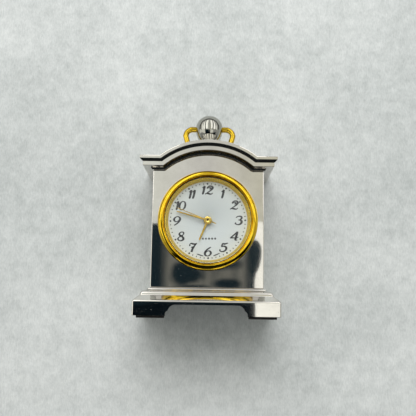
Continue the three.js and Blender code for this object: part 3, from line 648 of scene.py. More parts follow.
# (projection from the body, height) up the base, from the feet to the body
BASE_PROFILE = [
    (4.12, 0.6), (4.2, 0.7), (4.2, 4.16), (4.16, 4.34), (4.08, 4.5), (3.97, 4.63), (3.82, 4.75),
    (2.52, 5.81), (2.42, 5.92), (2.37, 6.06), (2.33, 6.3), (2.24, 6.52), (2.1, 6.72), (1.9, 6.88),
    (1.64, 7.0), (1.3, 7.09), (1.0, 7.17), (0.78, 7.28), (0.63, 7.42), (0.55, 7.56), (0.5, 7.68),
]


def bracket_outline(reach, apron, steps=8):
    """The cut between two feet: a foot's inner edge, a small cusp, a concave curve and the apron."""

    def bend(start, pull, end):
        a, b, c = Vector(start), Vector(pull), Vector(end)
        shares = [i / steps for i in range(steps + 1)]
        return [tuple(a * (1 - t) ** 2 + b * 2 * t * (1 - t) + c * t * t) for t in shares]

    inner = reach - 2.5
    half = [
        (reach, -1),
        *bend((reach, 1.15), (reach - 0.05, 1.75), (reach - 0.65, 1.95)),
        *bend((reach - 0.65, 1.95), (reach - 1.1, 3.35), (inner, apron)),
    ]
    return half + [(-x, z) for x, z in reversed(half)]


BASE_HOLLOW = 4.1
APRON = 3.5


def base():
    """The bracket base: hollow below, open at the back and cut away between the feet."""
    rings = [base_ring(projection, height) for projection, height in BASE_PROFILE]
    piece = make_piece("bracket_base", skin(rings), CHROME, "case", "base_plinth", smooth=24)
    front_cut = bracket_outline(10.65, APRON)
    side_cut = bracket_outline(5.6, APRON)
    side, front, back = BASE_HALF - RIM, -BACK + RIM, BACK + RIM
    inner = [(-side, front), (side, front), (side, back), (-side, back)]
    carve(
        piece,
        prism(front_cut, -BACK - 2, BACK + 2),
        prism(side_cut, -BASE_HALF - 2, BASE_HALF + 2, "YZ"),
        prism(rounded(inner, 0.8), -1, BASE_HOLLOW, "XY"),
    )
    flat_faced(bevelled(piece, 0.3, 4, 32))


def tube(points, radius, sides=24):
    """A round wire along a smooth line through points in millimetres."""
    path = smooth_line(points)
    rings = []
    for i, here in enumerate(path):
        ahead = path[min(i + 1, len(path) - 1)] - path[max(i - 1, 0)]
        ahead.normalize()
        side = ahead.cross(Vector((0, 1, 0))).normalized()
        out = side.cross(ahead)
        ring = []
        for k in range(sides):
            angle = 2 * pi * k / sides
            ring.append(tuple(here + (side * cos(angle) + out * sin(angle)) * radius))
        rings.append(ring)
    return skin(rings)


def smooth_line(points, samples=12):
    """Points along a Catmull-Rom line through the given ones."""
    knots = [Vector(p) for p in points]
    knots = [knots[0] * 2 - knots[1], *knots, knots[-1] * 2 - knots[-2]]
    line = []
    for a, b, c, d in zip(knots, knots[1:], knots[2:], knots[3:]):
        for i in range(samples):
            t = i / samples
            bend, twist = a * 2 - b * 5 + c * 4 - d, b * 3 - a - c * 3 + d
            line.append((b * 2 + (c - a) * t + bend * t * t + twist * t**3) / 2)
    return [*line, knots[-2]]


HANDLE_LEVEL = 53.45  # height of the wire's cross run
HANDLE_HALF = 6.78
HANDLE_FOOT = 5.6
HANDLE_BEND = 2
HANDLE_WIRE = 0.8
BALL_CENTRE = 53.6
BALL_DEPTH = 5.1  # from the centre down to where the ball's curve would close


def handle():
    """The bail: a cross run through the ball, bent down at both ends to feet in the roof."""
    side = []
    for i in range(9):
        angle = pi / 2 * (1 - i / 8)
        x = HANDLE_HALF - HANDLE_BEND + HANDLE_BEND * cos(angle)
        side.append((x, 0, HANDLE_LEVEL - HANDLE_BEND * (1 - sin(angle))))
    side += [(6.35, 0, 49.9), (5.85, 0, 48.3), (HANDLE_FOOT, 0, 46.8), (HANDLE_FOOT, 0, 45.5)]
    left = [(-x, y, z) for x, y, z in reversed(side)]
    wire = tube([*left, (0, 0, HANDLE_LEVEL), *side], HANDLE_WIRE)
    make_piece("bail_handle", wire, WIRE_GOLD, "case", "handle_bail", smooth=60)


def finial():
    """A ball on a waisted collar, standing on the top of the arch."""
    foot = KNOB_LOW.z
    half_width, half_height = KNOB_HIGH.x, KNOB_HIGH.z - BALL_CENTRE
    section = [
        (0, foot), (2.4, foot), (2.48, foot + 0.08), (2.5, foot + 0.22), (2.44, foot + 0.38),
        (2.3, foot + 0.5), (2.12, foot + 0.62), (2.05, foot + 0.8),
    ]
    steps = 48
    for i in range(steps + 1):
        angle = (0.8 * i / steps - 0.3) * pi
        across = 0 if i == steps else half_width * cos(angle)
        reach = half_height if angle > 0 else BALL_DEPTH
        section.append((across, BALL_CENTRE + reach * sin(angle)))
    ball = lathe(section, 128, "Z")
    make_piece("ball_finial", ball, NICKEL, "case", "finial_knob", smooth=50)


POSTS = [(side * 12.2, z) for side in (-1, 1) for z in (10.7, 36.8)]  # the back plate's screws
FINGER_HOLE = 6


def back_plate():
    outline = arch_outline(BODY_HALF - 0.95, CORNICE_DROP + 1.05, BODY_BOTTOM + 1.05)
    slab = prism(outline, BACK - 1.28, BACK - 0.01)
    plate = make_piece("rear_plate", slab, CHROME, "case", "back_plate")
    seat = [(0, -3), (0.6, -3), (0.6, -0.7), (1.16, -0.16), (1.16, 1), (0, 1)]
    seats = [lathe(seat, 40, "Y", (x, BACK, z)) for x, z in POSTS]
    carve(plate, prism(circle(0, DIAL_Z, FINGER_HOLE, 96), BACK - 3, BACK + 1), *seats)
    bevelled(plate, 0.12, 3, 40)


def back_screw(index, x, z):
    section = [
        (0, -4.6), (0.4, -4.6), (0.5, -4.4), (0.5, -0.75), (1.06, -0.2), (1.1, -0.12),
        (1.06, -0.06), (0.8, -0.04), (0, -0.04),
    ]
    turned = lathe(section, 48, "Y", (x, BACK, z))
    screw = make_piece(f"rear_screw_{index}", turned, STEEL, "case", f"back_screw_{index}")
    turn = radians(20 + 37 * index)
    arms = []
    for quarter in (0, pi / 2):
        along = Vector((cos(turn + quarter), sin(turn + quarter)))
        across = Vector((-along.y, along.x)) * 0.12
        tip = along * 0.66
        corners = [tip + across, tip - across, -tip - across, -tip + across]
        arms.append(prism([(x + c.x, z + c.y) for c in corners], BACK - 0.4, BACK + 1))
    carve(screw, *arms)
    bevelled(screw, 0.03, 2, 40)


def base_screw(side):
    low, high = cad_box(f"base_screw_{side}")
    x, y, seat = (low.x + high.x) / 2, (low.y + high.y) / 2, low.z + 1.05
    section = [
        (0, low.z), (0.9, low.z + 0.02), (1.25, low.z + 0.12), (1.44, low.z + 0.34), (1.5, low.z + 0.6),
        (1.5, seat), (0.68, seat), (0.68, high.z - 0.3), (0.4, high.z), (0, high.z),
    ]
    turned = lathe(section, 48, "Z", (x, y, 0))
    screw = make_piece(f"base_fixing_{side}", turned, STEEL, "case", f"base_screw_{side}")
    carve(screw, box_mesh(x - 1.15, x + 1.15, y - 0.19, y + 0.19, low.z - 1, low.z + 0.45))
    bevelled(screw, 0.04, 2, 40)


def foot_pad(name):
    """A rubber pad under one corner of the base; the front ones follow the corner's L shape."""
    low, high = cad_box(name)
    side_x, side_y = (1 if low.x > 0 else -1), (1 if low.y > 0 else -1)
    near_x, far_x = min(abs(low.x), abs(high.x)), max(abs(low.x), abs(high.x))
    near_y, far_y = min(abs(low.y), abs(high.y)), max(abs(low.y), abs(high.y))
    step_x, step_y = BASE_HALF - RIM + 0.25, BACK - RIM + 0.25
    corners = [(near_x, far_y), (far_x, far_y), (far_x, near_y), (near_x, near_y)]
    if side_y < 0:
        corners[-1:] = [(step_x, near_y), (step_x, step_y), (near_x, step_y)]
    outline = rounded([(side_x * x, side_y * y) for x, y in corners], 0.3, 4)
    slab = prism(outline, 0, high.z, "XY")
    pad = make_piece(f"rubber_{name}", slab, RUBBER, "case", name)
    bevelled(pad, 0.1, 3, 40)


# ---- Insert ----


def bezel():
    """A half-round ring with a turned step down to the crystal."""
    section = [(11.56, -0.02), (13.42, -0.02), (13.49, -0.06), (13.5, -0.14), (13.5, -0.5)]
    crown, swell, width, height = 12.2, -0.6, 1.3, 1.4
    for i in range(25):
        angle = pi / 2 * i / 24
        section.append((crown + width * cos(angle), swell - height * sin(angle)))
    section += [
        (12.1, -1.99), (12.02, -1.95), (11.97, -1.87), (11.94, -1.72), (11.9, -1.68), (11.86, -1.71),
        (11.83, -1.8), (11.79, -1.83), (11.72, -1.8), (11.68, -1.72), (11.68, -1.12), (11.56, -1.12),
    ]
    ring = dial_lathe(section, 256)
    make_piece("bezel_ring", ring, BEZEL_GOLD, "clock_insert", "bezel", smooth=50)


def reflector():
    """The ribbed gold cone between the crystal and the dial."""
    section = [
        (10.72, 0.36), (10.98, 0.36), (10.98, -0.06), (11.5, -0.06), (11.5, -1.06), (11.46, -1.1),
        (11.3, -1.1), (11.24, -1.04), (11.16, -0.86), (11.04, -0.56), (10.76, 0.24), (10.7, 0.3),
    ]
    cone = dial_lathe(section, 240)
    make_piece("reflector_rim", cone, RAY_GOLD, "clock_insert", "reflector_ring", smooth=25)


def crystal():
    """The glass; it casts no shadow, so that the dial behind it is lit as in a real clock."""
    section = [
        (0, -1.13), (11.4, -1.13), (11.48, -1.2), (11.48, -1.68), (11.4, -1.78), (11.25, -1.84),
        (0, -1.84),
    ]
    disc = dial_lathe(section, 192)
    piece = make_piece("crystal_disc", disc, GLASS, "clock_insert", "crystal", smooth=20)
    piece.visible_shadow = False
    piece.visible_diffuse = False


DIAL_FRONT = 0.4  # depth of the dial behind the case's face
INK_FRONT = FACE + DIAL_FRONT - 0.014
INK_BACK = FACE + DIAL_FRONT + 0.004
NUMERAL_HEIGHT = 2.35
NUMERAL_RING = 8.35
NUMERAL_LEAN = 0.14
NUMERAL_SPREAD = 1.2  # how much wider the numerals are than drawn below
PEN_EXTRA = 0.06


def dial():
    front, back, radius = DIAL_FRONT, 0.8, 11.0
    section = [(0.95, front + 0.02), (0.99, front), (radius - 0.04, front), (radius, front + 0.04),
               (radius, back), (0.95, back)]
    make_piece("dial_plate", dial_lathe(section, 192), DIAL_WHITE, "clock_insert", "dial")


def dial_point(x, z, turn=INSERT_TURN):
    """A point on the dial, turned with the insert, as (x, z) about the clock's own axes."""
    angle = radians(turn)
    cosine, sine = cos(angle), sin(angle)
    return (x * cosine + z * sine, DIAL_Z - x * sine + z * cosine)


def ink_slab(work, outline):
    """A closed thin slab of ink on the dial, from an outline in dial millimetres."""
    placed = [dial_point(x, z) for x, z in outline]
    top = [work.verts.new(Vector((x, INK_FRONT, z)) * MM) for x, z in placed]
    bottom = [work.verts.new(Vector((x, INK_BACK, z)) * MM) for x, z in placed]
    count = len(placed)
    work.faces.new(top)
    work.faces.new(list(reversed(bottom)))
    for i in range(count):
        j = (i + 1) % count
        work.faces.new((top[j], top[i], bottom[i], bottom[j]))


def ink_stroke(work, knots, centre):
    """A pen stroke through knots of (x, y, pen width), in hundredths of the numeral's height."""
    line = smooth_line([[part / 100 for part in knot] for knot in knots], 8)
    left, right = [], []
    for i, here in enumerate(line):
        ahead = line[min(i + 1, len(line) - 1)] - line[max(i - 1, 0)]
        across = Vector((-ahead.y, ahead.x)).normalized() * (here.z + PEN_EXTRA) / 2
        for edge, sign in ((left, 1), (right, -1)):
            x, y = here.x + sign * across.x, here.y + sign * across.y - 0.5
            slanted = x * NUMERAL_SPREAD + NUMERAL_LEAN * y
            edge.append((centre[0] + slanted * NUMERAL_HEIGHT, centre[1] + y * NUMERAL_HEIGHT))
    rows = []
    for a, b in zip(left, right):
        (ax, az), (bx, bz) = dial_point(*a), dial_point(*b)
        rows.append([(ax, INK_FRONT, az), (bx, INK_FRONT, bz), (bx, INK_BACK, bz), (ax, INK_BACK, az)])
    add_mesh(work, skin(rows))


# Pen strokes of the numerals: (x, y, pen width), in hundredths of the height, x from the middle
FINE, MID, BOLD = 4.5, 9, 16
ONE = [
    [(-17, 76, FINE), (-6, 84, MID), (5, 98, BOLD)],
    [(5, 100, MID), (3, 80, BOLD), (0, 40, BOLD), (-4, 10, 14), (-7, 0, 6)],
]
TWO = [
    [(-2, 62, FINE), (8, 66, MID), (8, 78, MID), (-6, 82, FINE), (-20, 74, MID), (-20, 86, FINE),
     (-2, 98, MID), (20, 94, 11), (30, 76, BOLD), (20, 54, 12), (-2, 32, 7), (-24, 12, FINE),
     (-36, 2, FINE)],
    [(-34, 6, FINE), (-20, 13, MID), (0, 8, 13), (18, 3, MID), (30, 8, FINE), (34, 18, FINE)],
]
THREE = [
    [(-26, 80, MID), (-20, 92, FINE), (2, 99, MID), (22, 90, 12), (24, 72, 13), (10, 58, FINE),
     (-4, 54, FINE)],
    [(-4, 55, FINE), (14, 54, MID), (28, 40, BOLD), (26, 16, BOLD), (6, 2, MID), (-16, 4, FINE),
     (-28, 16, MID), (-24, 24, MID)],
]
FOUR = [
    [(20, 100, FINE), (4, 76, MID), (-22, 46, MID), (-42, 26, FINE)],
    [(-42, 28, MID), (-10, 27, 7), (20, 28, FINE), (36, 34, FINE)],
    [(22, 98, MID), (18, 70, BOLD), (12, 30, BOLD), (10, 6, 13), (18, 0, FINE), (28, 4, FINE)],
]
FIVE = [
    [(-16, 94, MID), (4, 88, 13), (22, 92, MID), (36, 100, FINE)],
    [(-14, 95, FINE), (-18, 72, MID), (-20, 54, FINE)],
    [(-20, 55, FINE), (-2, 63, MID), (20, 54, 13), (27, 34, BOLD), (18, 12, 12), (-4, 1, MID),
     (-26, 6, FINE), (-32, 18, MID), (-26, 24, MID)],
]
SIX = [
    [(22, 100, FINE), (6, 90, MID), (-16, 66, 12), (-28, 36, BOLD), (-22, 12, 12), (-2, 0, FINE),
     (20, 10, 10), (29, 32, 14), (18, 54, MID), (0, 58, FINE), (-16, 46, FINE), (-22, 34, FINE)],
]
SEVEN = [
    [(-26, 68, MID), (-30, 84, FINE), (-18, 97, MID), (2, 92, 13), (20, 90, MID), (36, 100, FINE)],
    [(36, 100, FINE), (18, 72, MID), (4, 40, 13), (-2, 14, BOLD), (0, 0, 13)],
    [(-14, 52, FINE), (4, 56, MID), (20, 56, FINE)],
]
EIGHT = [
    [(2, 54, MID), (-16, 66, 12), (-18, 86, MID), (2, 100, FINE), (20, 90, MID), (18, 70, FINE),
     (2, 54, MID), (-20, 38, FINE), (-27, 20, MID), (-14, 3, FINE), (6, 0, MID), (25, 14, BOLD),
     (20, 36, 15), (2, 54, MID)],
]
ZERO = [
    [(4, 100, FINE), (-16, 88, MID), (-27, 55, 13), (-20, 16, MID), (-2, 0, FINE), (16, 10, MID),
     (27, 44, 13), (22, 84, MID), (4, 100, FINE)],
]
NINE = [[(-x, 100 - y, pen) for x, y, pen in stroke] for stroke in SIX]
NUMERALS = {
    1: [(ONE, 0)], 2: [(TWO, 0)], 3: [(THREE, 0)], 4: [(FOUR, 0)], 5: [(FIVE, 0)], 6: [(SIX, 0)],
    7: [(SEVEN, 0)], 8: [(EIGHT, 0)], 9: [(NINE, 0)], 10: [(ONE, -0.4), (ZERO, 0.16)],
    11: [(ONE, -0.2), (ONE, 0.2)], 12: [(ONE, -0.44), (TWO, 0.2)],
}


def printed(name, work):
    make_piece(name, work, INK, "clock_insert", smooth=20)


def numerals():
    for hour, glyphs in NUMERALS.items():
        angle = radians(30 * hour)
        middle = Vector((sin(angle), cos(angle))) * NUMERAL_RING
        work = bmesh.new()
        for strokes, offset in glyphs:
            for stroke in strokes:
                centre = (middle.x + offset * NUMERAL_HEIGHT, middle.y)
                ink_stroke(work, stroke, centre)
        printed(f"numeral_{hour}", work)


def minute_dots():
    work = bmesh.new()
    for minute in range(60):
        angle = radians(6 * minute)
        across, along = (0.13, 0.2) if minute % 5 else (0.24, 0.26)
        out = Vector((sin(angle), cos(angle)))
        side = Vector((out.y, -out.x))
        middle = out * 10.1
        outline = []
        for i in range(12):
            turn = 2 * pi * i / 12
            point = middle + side * across * cos(turn) + out * along * sin(turn)
            outline.append((point.x, point.y))
        ink_slab(work, outline)
    printed("minute_dots", work)


def dial_ornament():
    """A row of small lozenges below the centre, and a slanted dash on each side of the six."""
    work = bmesh.new()
    for i in range(5):
        x = -1.35 + 0.82 * i
        ink_slab(work, [(x - 0.3, -4.87), (x, -4.5), (x + 0.3, -4.87), (x, -5.24)])
    left = [(-3.05, -8.85), (-2.5, -8.98), (-1.3, -9.4), (-1.25, -9.62), (-1.9, -9.5), (-2.98, -9.1)]
    right = [(3.08, -8.72), (2.5, -8.92), (1.45, -9.36), (1.42, -9.6), (2.0, -9.46), (3.12, -8.94)]
    ink_slab(work, left)
    ink_slab(work, right)
    printed("dial_ornament", work)


def turned_hub(radius, bore, front, back):
    """A hand's collet: a flat-topped turned ring with rounded arrises."""
    round_off = min(0.12, (back - front) * 0.35)
    section = [(bore, back), (radius - 0.05, back), (radius, back - 0.04), (radius, front + round_off)]
    for i in range(1, 7):
        angle = pi / 2 * i / 6
        inset, depth = round_off * (1 - cos(angle)), round_off * (1 - sin(angle))
        section.append((radius - inset, front + depth))
    section += [(bore + 0.14, front), (bore + 0.05, front + 0.03), (bore, front + 0.1)]
    return dial_lathe(section, 64)


def blade(turn, length, tail, widths, front, back, tail_widths=None):
    """A hand's blade with a low ridge along its middle, turned clockwise from twelve by degrees."""
    rows = []
    root, waist, tip = widths
    stations = [(0.0, root), (0.3, waist), (0.9, tip * 1.1), (0.97, tip * 0.8), (1.0, tip * 0.25)]
    if tail:
        tail_root, tail_tip = tail_widths
        end = -tail / length
        stations = [(end, tail_tip * 0.6), (end + 0.015, tail_tip), (-0.02, tail_root), *stations]
    shoulder = front + (back - front) * 0.55
    for share, width in stations:
        half = width / 2
        left = [(-half, back), (-half, shoulder), (-half * 0.45, front)]
        corners = left + [(-x, y) for x, y in reversed(left)]
        row = []
        for x, y in corners:
            px, pz = dial_point(x, share * length, turn + INSERT_TURN)
            row.append((px, FACE + y, pz))
        rows.append(row)
    return skin(rows)


def pointer(name, mesh, body, node):
    make_piece(name, mesh, HAND_GOLD, body, node, smooth=28)


def hands():
    """Each hand is its blade and its collet; the seconds hand's has the arbor's tip in it."""
    hour = blade(HOUR * 30, 5.8, 0, (0.5, 0.56, 0.4), -0.24, -0.08)
    add_mesh(hour, turned_hub(1.12, 0.84, -0.26, 0.08))
    pointer("hour_pointer", hour, "hour_sleeve", "hour_hand")
    minute = blade(MINUTE * 6, 8.85, 0, (0.46, 0.5, 0.34), -0.6, -0.44)
    add_mesh(minute, turned_hub(1.08, 0.42, -0.64, -0.3))
    pointer("minute_pointer", minute, "minute_sleeve", "minute_hand")
    second = blade(SECOND * 6, 9.1, 2.4, (0.24, 0.22, 0.16), -0.94, -0.82, (0.24, 0.34))
    add_mesh(second, turned_hub(0.86, 0.24, -1.06, -0.7))
    pointer("second_pointer", second, "second_arbor", "second_hand")
    # the arbor's tip is near-black: blued steel, and painted shade standing in for the dark bore of the
    # collet
    tip = [(0, -0.98), (0.1, -0.975), (0.18, -0.95), (0.225, -0.9), (0.225, -0.86), (0, -0.86)]
    plug = dial_lathe(tip, 48)
    make_piece("seconds_arbor_tip", plug, BLUED_BORE_SHADE, "second_arbor", smooth=40)


def insert_shell():
    """The insert's cup, its grip ring and its snap back: what shows when it is pushed out."""
    wall = [
        (11.1, 0.0), (11.8, 0.0), (11.9, 0.1), (11.9, 3.24), (11.86, 3.3), (11.5, 3.3), (11.5, 4.7),
        (11.86, 4.7), (11.9, 4.76), (11.9, 8.08), (11.82, 8.2), (11.2, 8.2), (11.1, 8.1),
    ]
    cup = make_piece("insert_case", dial_lathe(wall, 192), BRASS, "clock_insert", "insert_cup")
    low, high = cad_box("crown")
    middle = (low.y + high.y) / 2
    corners = [(-1.2, -1.2), (1.2, -1.2), (1.2, 1.2), (-1.2, 1.2)]
    window = rounded([(middle + y, DIAL_Z + z) for y, z in corners], 0.4, 4)
    carve(cup, prism(window, 8.9, 12.5, "YZ"))
    bevelled(cup, 0.05, 2, 40)
    ridges = [(11.54, 3.36), (11.78, 3.36)]
    for crest in (3.55, 3.85, 4.15, 4.45):
        ridges += [(11.84, crest - 0.12), (12.04, crest - 0.04)]
        ridges += [(12.04, crest + 0.04), (11.84, crest + 0.12)]
    ridges += [(11.78, 4.64), (11.54, 4.64)]
    make_piece("rubber_grip", dial_lathe(ridges, 128), GASKET, "clock_insert", "grip_ring", smooth=40)
    lid = [
        (0, 7.3), (10.4, 7.3), (10.4, 5.2), (11.0, 5.2), (11.0, 7.8), (10.9, 7.9), (9.9, 7.9),
        (9.7, 7.82), (9.2, 7.82), (9.0, 7.9), (2.0, 7.9), (1.9, 7.84), (1.5, 7.84), (1.4, 7.9), (0, 7.9),
    ]
    back = make_piece("snap_back", dial_lathe(lid, 160), SNAP_BACK, "clock_insert", "insert_back")
    carve(back, box_mesh(-1.4, 1.4, FACE + 7.55, FACE + 8.5, DIAL_Z - 11.4, DIAL_Z - 10.2))
    bevelled(back, 0.04, 2, 40)


def crown():
    """The setting crown: fluted, with rounded ends, on the insert's side."""
    low, high = cad_box("crown")
    y, radius = (low.y + high.y) / 2, (high.z - low.z) / 2
    flutes, across = 24, 4
    count = flutes * across
    profile = [(0.72, low.x, 0), (0.88, low.x + 0.05, 0.3), (1.0, low.x + 0.18, 1),
               (1.0, high.x - 0.22, 1), (0.92, high.x - 0.07, 0.4), (0.76, high.x, 0)]
    rings = []
    for scale, x, depth in profile:
        ring = []
        for i in range(count):
            angle = 2 * pi * i / count
            wave = 1 - 0.07 * depth * (0.5 - 0.5 * cos(flutes * angle))
            reach = radius * scale * wave
            ring.append((x, y + reach * cos(angle), DIAL_Z + reach * sin(angle)))
        rings.append(ring)
    make_piece("fluted_crown", skin(rings), HAND_GOLD, "stem_and_crown", "crown", smooth=35)


def carried_over():
    """The movement's own CAD nodes keep their shapes and take worked metal, plastic and copper."""
    centres = {joint["child"]: joint["pos_m"] for joint in frame["joints"] if "pos_m" in joint}
    steel = [
        "train_bridge", "stator", "coil_core", "quartz_can", "battery_clip", "setting_stem",
        "clutch_wheel", "setting_lever", "bridge_screw_1", "bridge_screw_2", "bridge_screw_3",
        "finial_screw",
    ]
    others = {
        "main_plate": BRASS, "coil_winding": COPPER, "circuit_board": GREEN, "driver_chip": BLACK_CHIP,
        "movement_ring": CREAM, "crystal_gasket": GASKET,
    }
    for node, finish in {**dict.fromkeys(steel, STEEL), **others}.items():
        give(node, finish)
    low, high = cad_box("battery")
    middle = ((low.x + high.x) / 2 * MM, (low.z + high.z) / 2 * MM)
    give("battery", brushed("battery_can", "#d4d6d8", "#a7aaad", middle, 1.5))
    wheels = {
        "fourth_wheel": "second_arbor", "third_wheel": "third_arbor", "centre_wheel": "minute_arbor",
        "fifth_wheel": "fifth_arbor", "minute_wheel": "motion_wheel", "hour_wheel": "hour_sleeve",
    }
    pinions = {
        "rotor": "motor_rotor", "cannon_pinion": "minute_sleeve", "setting_wheel": "setting_idler",
    }
    for turning, metal, light, deep in (
        (wheels, "brass", "#dcbc6a", "#b3903f"), (pinions, "steel", "#c3c6c8", "#8b8f93"),
    ):
        for node, body in turning.items():
            x, _, z = centres[body]
            give(node, brushed(f"{node}_{metal}", light, deep, (x, z), 2.0))


def give(node, finish):
    data = frame["nodes"][node].data
    data.materials.clear()
    data.materials.append(finish)


cornice()
body_shell()
base()
handle()
finial()
back_plate()
for number, (post_x, post_z) in enumerate(POSTS, 1):
    back_screw(number, post_x, post_z)
for side_name in ("left", "right"):
    base_screw(side_name)
    for end in ("front", "back"):
        foot_pad(f"foot_pad_{end}_{side_name}")
bezel()
reflector()
crystal()
dial()
numerals()
minute_dots()
dial_ornament()
hands()
insert_shell()
crown()
carried_over()


# ---- Stage, light and camera ----

CAMERA_PLACE = Vector((1.12, FACE - 159.5, 7.5))  # millimetres; the angles below are radians
CAMERA_PITCH = 0.136
CAMERA_YAW = 0.007
CAMERA_ROLL = 0.015
LENS = 51.5
DARK = (0.012, 0.014, 0.014, 1)
CARD_Y = CAMERA_PLACE.y - 8  # plane of the cards in front of the clock, just behind the camera


def add_camera():
    data = bpy.data.cameras.new("camera")
    data.lens = LENS
    data.clip_start = 0.005
    data.clip_end = 20
    camera = linked("camera", data)
    right = Vector((cos(CAMERA_YAW), sin(CAMERA_YAW), 0))
    level = Vector((-sin(CAMERA_YAW), cos(CAMERA_YAW), 0))
    forward = level * cos(CAMERA_PITCH) + Vector((0, 0, sin(CAMERA_PITCH)))
    up = right.cross(forward)
    turned = Matrix.Rotation(-CAMERA_ROLL, 3, forward)
    right, up = turned @ right, turned @ up
    basis = Matrix((right, up, -forward)).transposed()
    camera.matrix_world = Matrix.Translation(CAMERA_PLACE * MM) @ basis.to_4x4()
    bpy.context.scene.camera = camera


def staged(name, corners, finish):
    """A flat stage surface through corners in millimetres."""
    work = bmesh.new()
    work.faces.new([work.verts.new(Vector(c) * MM) for c in corners])
    work.normal_update()
    data = baked(name, work)
    data.materials.append(finish)
    surface = linked(name, data)
    return surface


def mirrored(name, corners, finish):
    """A stage surface that only polished metal sees, as a photographer's card or screen."""
    card = staged(name, corners, finish)
    card.visible_camera = False
    card.visible_diffuse = False
    card.visible_transmission = False
    card.visible_shadow = False


def upright(name, left, right, low, high, y, finish):
    """A mirrored card standing square to the clock."""
    mirrored(name, [(left, y, low), (right, y, low), (right, y, high), (left, y, high)], finish)


def glow(name, strength, tint):
    return Shader(name).emit(tint, strength)


def dim_card():
    """Blue-black card with a smoky grey middle, for the dark lower half of the polished case."""
    s = Shader("dim_card")
    apart = s.axes()
    across, up = apart["X"], apart["Z"]

    def lobe(x, z, wide, tall, soft):
        dx = s.math("POWER", s.math("DIVIDE", s.math("SUBTRACT", across, x * MM), wide * MM), 2.0)
        dz = s.math("POWER", s.math("DIVIDE", s.math("SUBTRACT", up, z * MM), tall * MM), 2.0)
        wobble = s.spread(s.noise(90, 2), -0.3, 0.3, 0.2, 0.8)
        reach = s.plus(s.math("SQRT", s.plus(dx, dz)), wobble)
        return s.spread(reach, 1.0, 0.0, 1 - soft, 1 + soft)

    dark = s.spread(across, 1, 0, -0.027, -0.0215)
    dark = s.math("MAXIMUM", dark, s.spread(across, 0, 1, 0.0185, 0.0225))
    dark = s.math("MAXIMUM", dark, s.spread(up, 1, 0, 0.0065, 0.0088))
    lobes = [(-13.2, 15.8, 9.4, 5.8, 0.2), (8.6, 10.8, 7.8, 3.1, 0.25), (-8, 9.2, 9, 0.9, 0.5),
             (9, 22, 8, 3, 0.5)]
    for place in lobes:
        dark = s.math("MAXIMUM", dark, lobe(*place))
    streaks = s.grain(3, 260, 260, 40)
    grey = s.times(s.math("SUBTRACT", 1.0, dark), s.spread(streaks, 0.55, 1.25, 0.3, 0.7))
    tone = s.mix(grey, (0.010, 0.021, 0.028, 1), (0.185, 0.185, 0.165, 1))
    tone = s.mix(s.spread(up, 1, 0, 0.002, 0.005), tone, (0.003, 0.006, 0.009, 1))
    dust = s.times(dark, s.spread(s.noise(1500, 2), 0, 1, 0.66, 0.76))
    tone = s.mix(s.times(dust, 0.5), tone, (0.10, 0.17, 0.20, 1))
    return s.emit(tone, 1.0)


def far_wall():
    """The room's wall in the upper half of the polished case: paler to the left."""
    s = Shader("far_wall")
    share = s.spread(s.axes()["X"], 0, 1, -0.09, 0.09)
    stops = [(0.0, (0.86, 0.88, 0.82, 1)), (0.45, (0.7, 0.7, 0.67, 1)), (1.0, (0.69, 0.68, 0.56, 1))]
    return s.emit(s.ramp(share, stops), s.spread(s.noise(14, 2), 0.92, 1.06))


def add_backdrop():
    size, y = 700, BACK + 0.15
    corners = [(-size, y, -size), (size, y, -size), (size, y, size), (-size, y, size)]
    sheet = staged("backdrop_sheet", corners, SHEET)
    sheet.visible_shadow = False
    sheet.visible_transmission = False


def add_cards():
    """What the lower half of the case mirrors: a dark card with a wavy right edge, and white ones."""
    outline = [
        (-130, -80), (24.5, -80), (24.7, 12.6), (25.4, 16.6), (27.1, 20.5), (28, 24.5), (28.4, 29),
        (28, 32), (26.6, 34.4), (23, 36), (-20, 43), (-130, 46),
    ]
    mirrored("dim_card", [(x, CARD_Y, z) for x, z in outline], dim_card())
    floor = [(-130, 4, -80), (300, 4, -80), (300, CARD_Y, -80), (-130, CARD_Y, -80)]
    mirrored("under_card", floor, glow("under_dark", 1.0, DARK))
    white = glow("bright_white", 1.22, (1, 1, 0.94, 1))
    upright("bright_card", 24, 120, -14, 45, CARD_Y - 1, white)
    upright("bright_card_left", -600, -134, -30, 60, CARD_Y - 2, white)
    upright("low_card", 24, 300, -80, -14, CARD_Y - 1, glow("low_dark", 1.0, DARK))
    side = [(-640, 8, -60), (-640, 8, 110), (-640, CARD_Y, 110), (-640, CARD_Y, -60)]
    mirrored("bright_card_side", side, white)


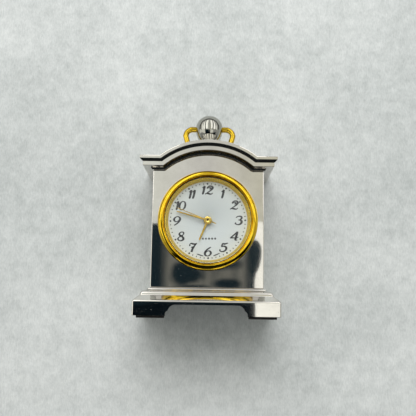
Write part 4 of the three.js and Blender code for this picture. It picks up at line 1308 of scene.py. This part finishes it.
def add_windows():
    """What the ball, the handle and the bezel mirror: a wall, two bright panes, bars and dark eaves."""
    upright("far_wall", -900, 900, 40, 420, -700, far_wall())
    pane = glow("pane_bright", 2.1, (1, 1, 0.97, 1))
    upright("pane_left", -450, -50, 62, 640, -212, pane)
    upright("pane_right", 50, 420, 62, 640, -212, pane)
    bar = glow("bar_dark", 1.0, (0.03, 0.03, 0.03, 1))
    low, high, near = 40, 640, -205
    bars = ((-310, -380, 50), (-150, -250, 36), (98, 185, 36), (260, 330, 50))
    for index, (foot, head, width) in enumerate(bars):
        corners = [(foot, low), (foot + width, low), (head + width * 1.7, high), (head, high)]
        mirrored(f"window_bar_{index}", [(x, near, z) for x, z in corners], bar)
    dark = glow("eaves_dark", 1.0, (0.06, 0.06, 0.06, 1))
    eaves = (((-650, 110), (-650, 700)), ((650, 110), (650, 700)), ((-650, 700), (650, 700)))
    for index, ((x, z), (x_end, z_end)) in enumerate(eaves):
        corners = [(x, 8, z), (x_end, 8, z_end), (x_end, -120, z_end), (x, -120, z)]
        mirrored(f"eaves_{index}", corners, dark)


def add_light(name, place, size, watts):
    """A soft round light aimed at the dial."""
    data = bpy.data.lights.new(name, "AREA")
    data.shape = "DISK"
    data.size = size
    data.energy = watts
    light = linked(name, data)
    light.location = place
    light.visible_glossy = False
    aim = Vector((0, 0, DIAL_Z * MM)) - Vector(place)
    light.rotation_euler = aim.to_track_quat("-Z", "Y").to_euler()


def add_world():
    """A pale room, dimmer towards the ground."""
    world = bpy.data.worlds.new("room")
    bpy.context.scene.world = world
    world.use_nodes = True
    nodes, links = world.node_tree.nodes, world.node_tree.links
    apart = nodes.new("ShaderNodeSeparateXYZ")
    links.new(nodes.new("ShaderNodeTexCoord").outputs["Generated"], apart.inputs[0])
    height = nodes.new("ShaderNodeMapRange")
    height.inputs["From Min"].default_value = -1
    links.new(apart.outputs["Z"], height.inputs["Value"])
    tone = nodes.new("ShaderNodeValToRGB")
    links.new(height.outputs["Result"], tone.inputs["Fac"])
    stops = [(0.0, (0.16, 0.165, 0.16, 1)), (0.4, (0.42, 0.43, 0.42, 1)), (0.6, (0.66, 0.66, 0.62, 1)),
             (0.8, (0.74, 0.74, 0.71, 1)), (1.0, (0.7, 0.7, 0.69, 1))]
    links.new(fill_ramp(tone, stops), nodes["Background"].inputs["Color"])


add_camera()
add_backdrop()
add_cards()
add_windows()
add_world()
add_light("key", (0.0, -0.37, 0.35), 0.45, 1.85)
bpy.context.scene.view_settings.view_transform = "Standard"
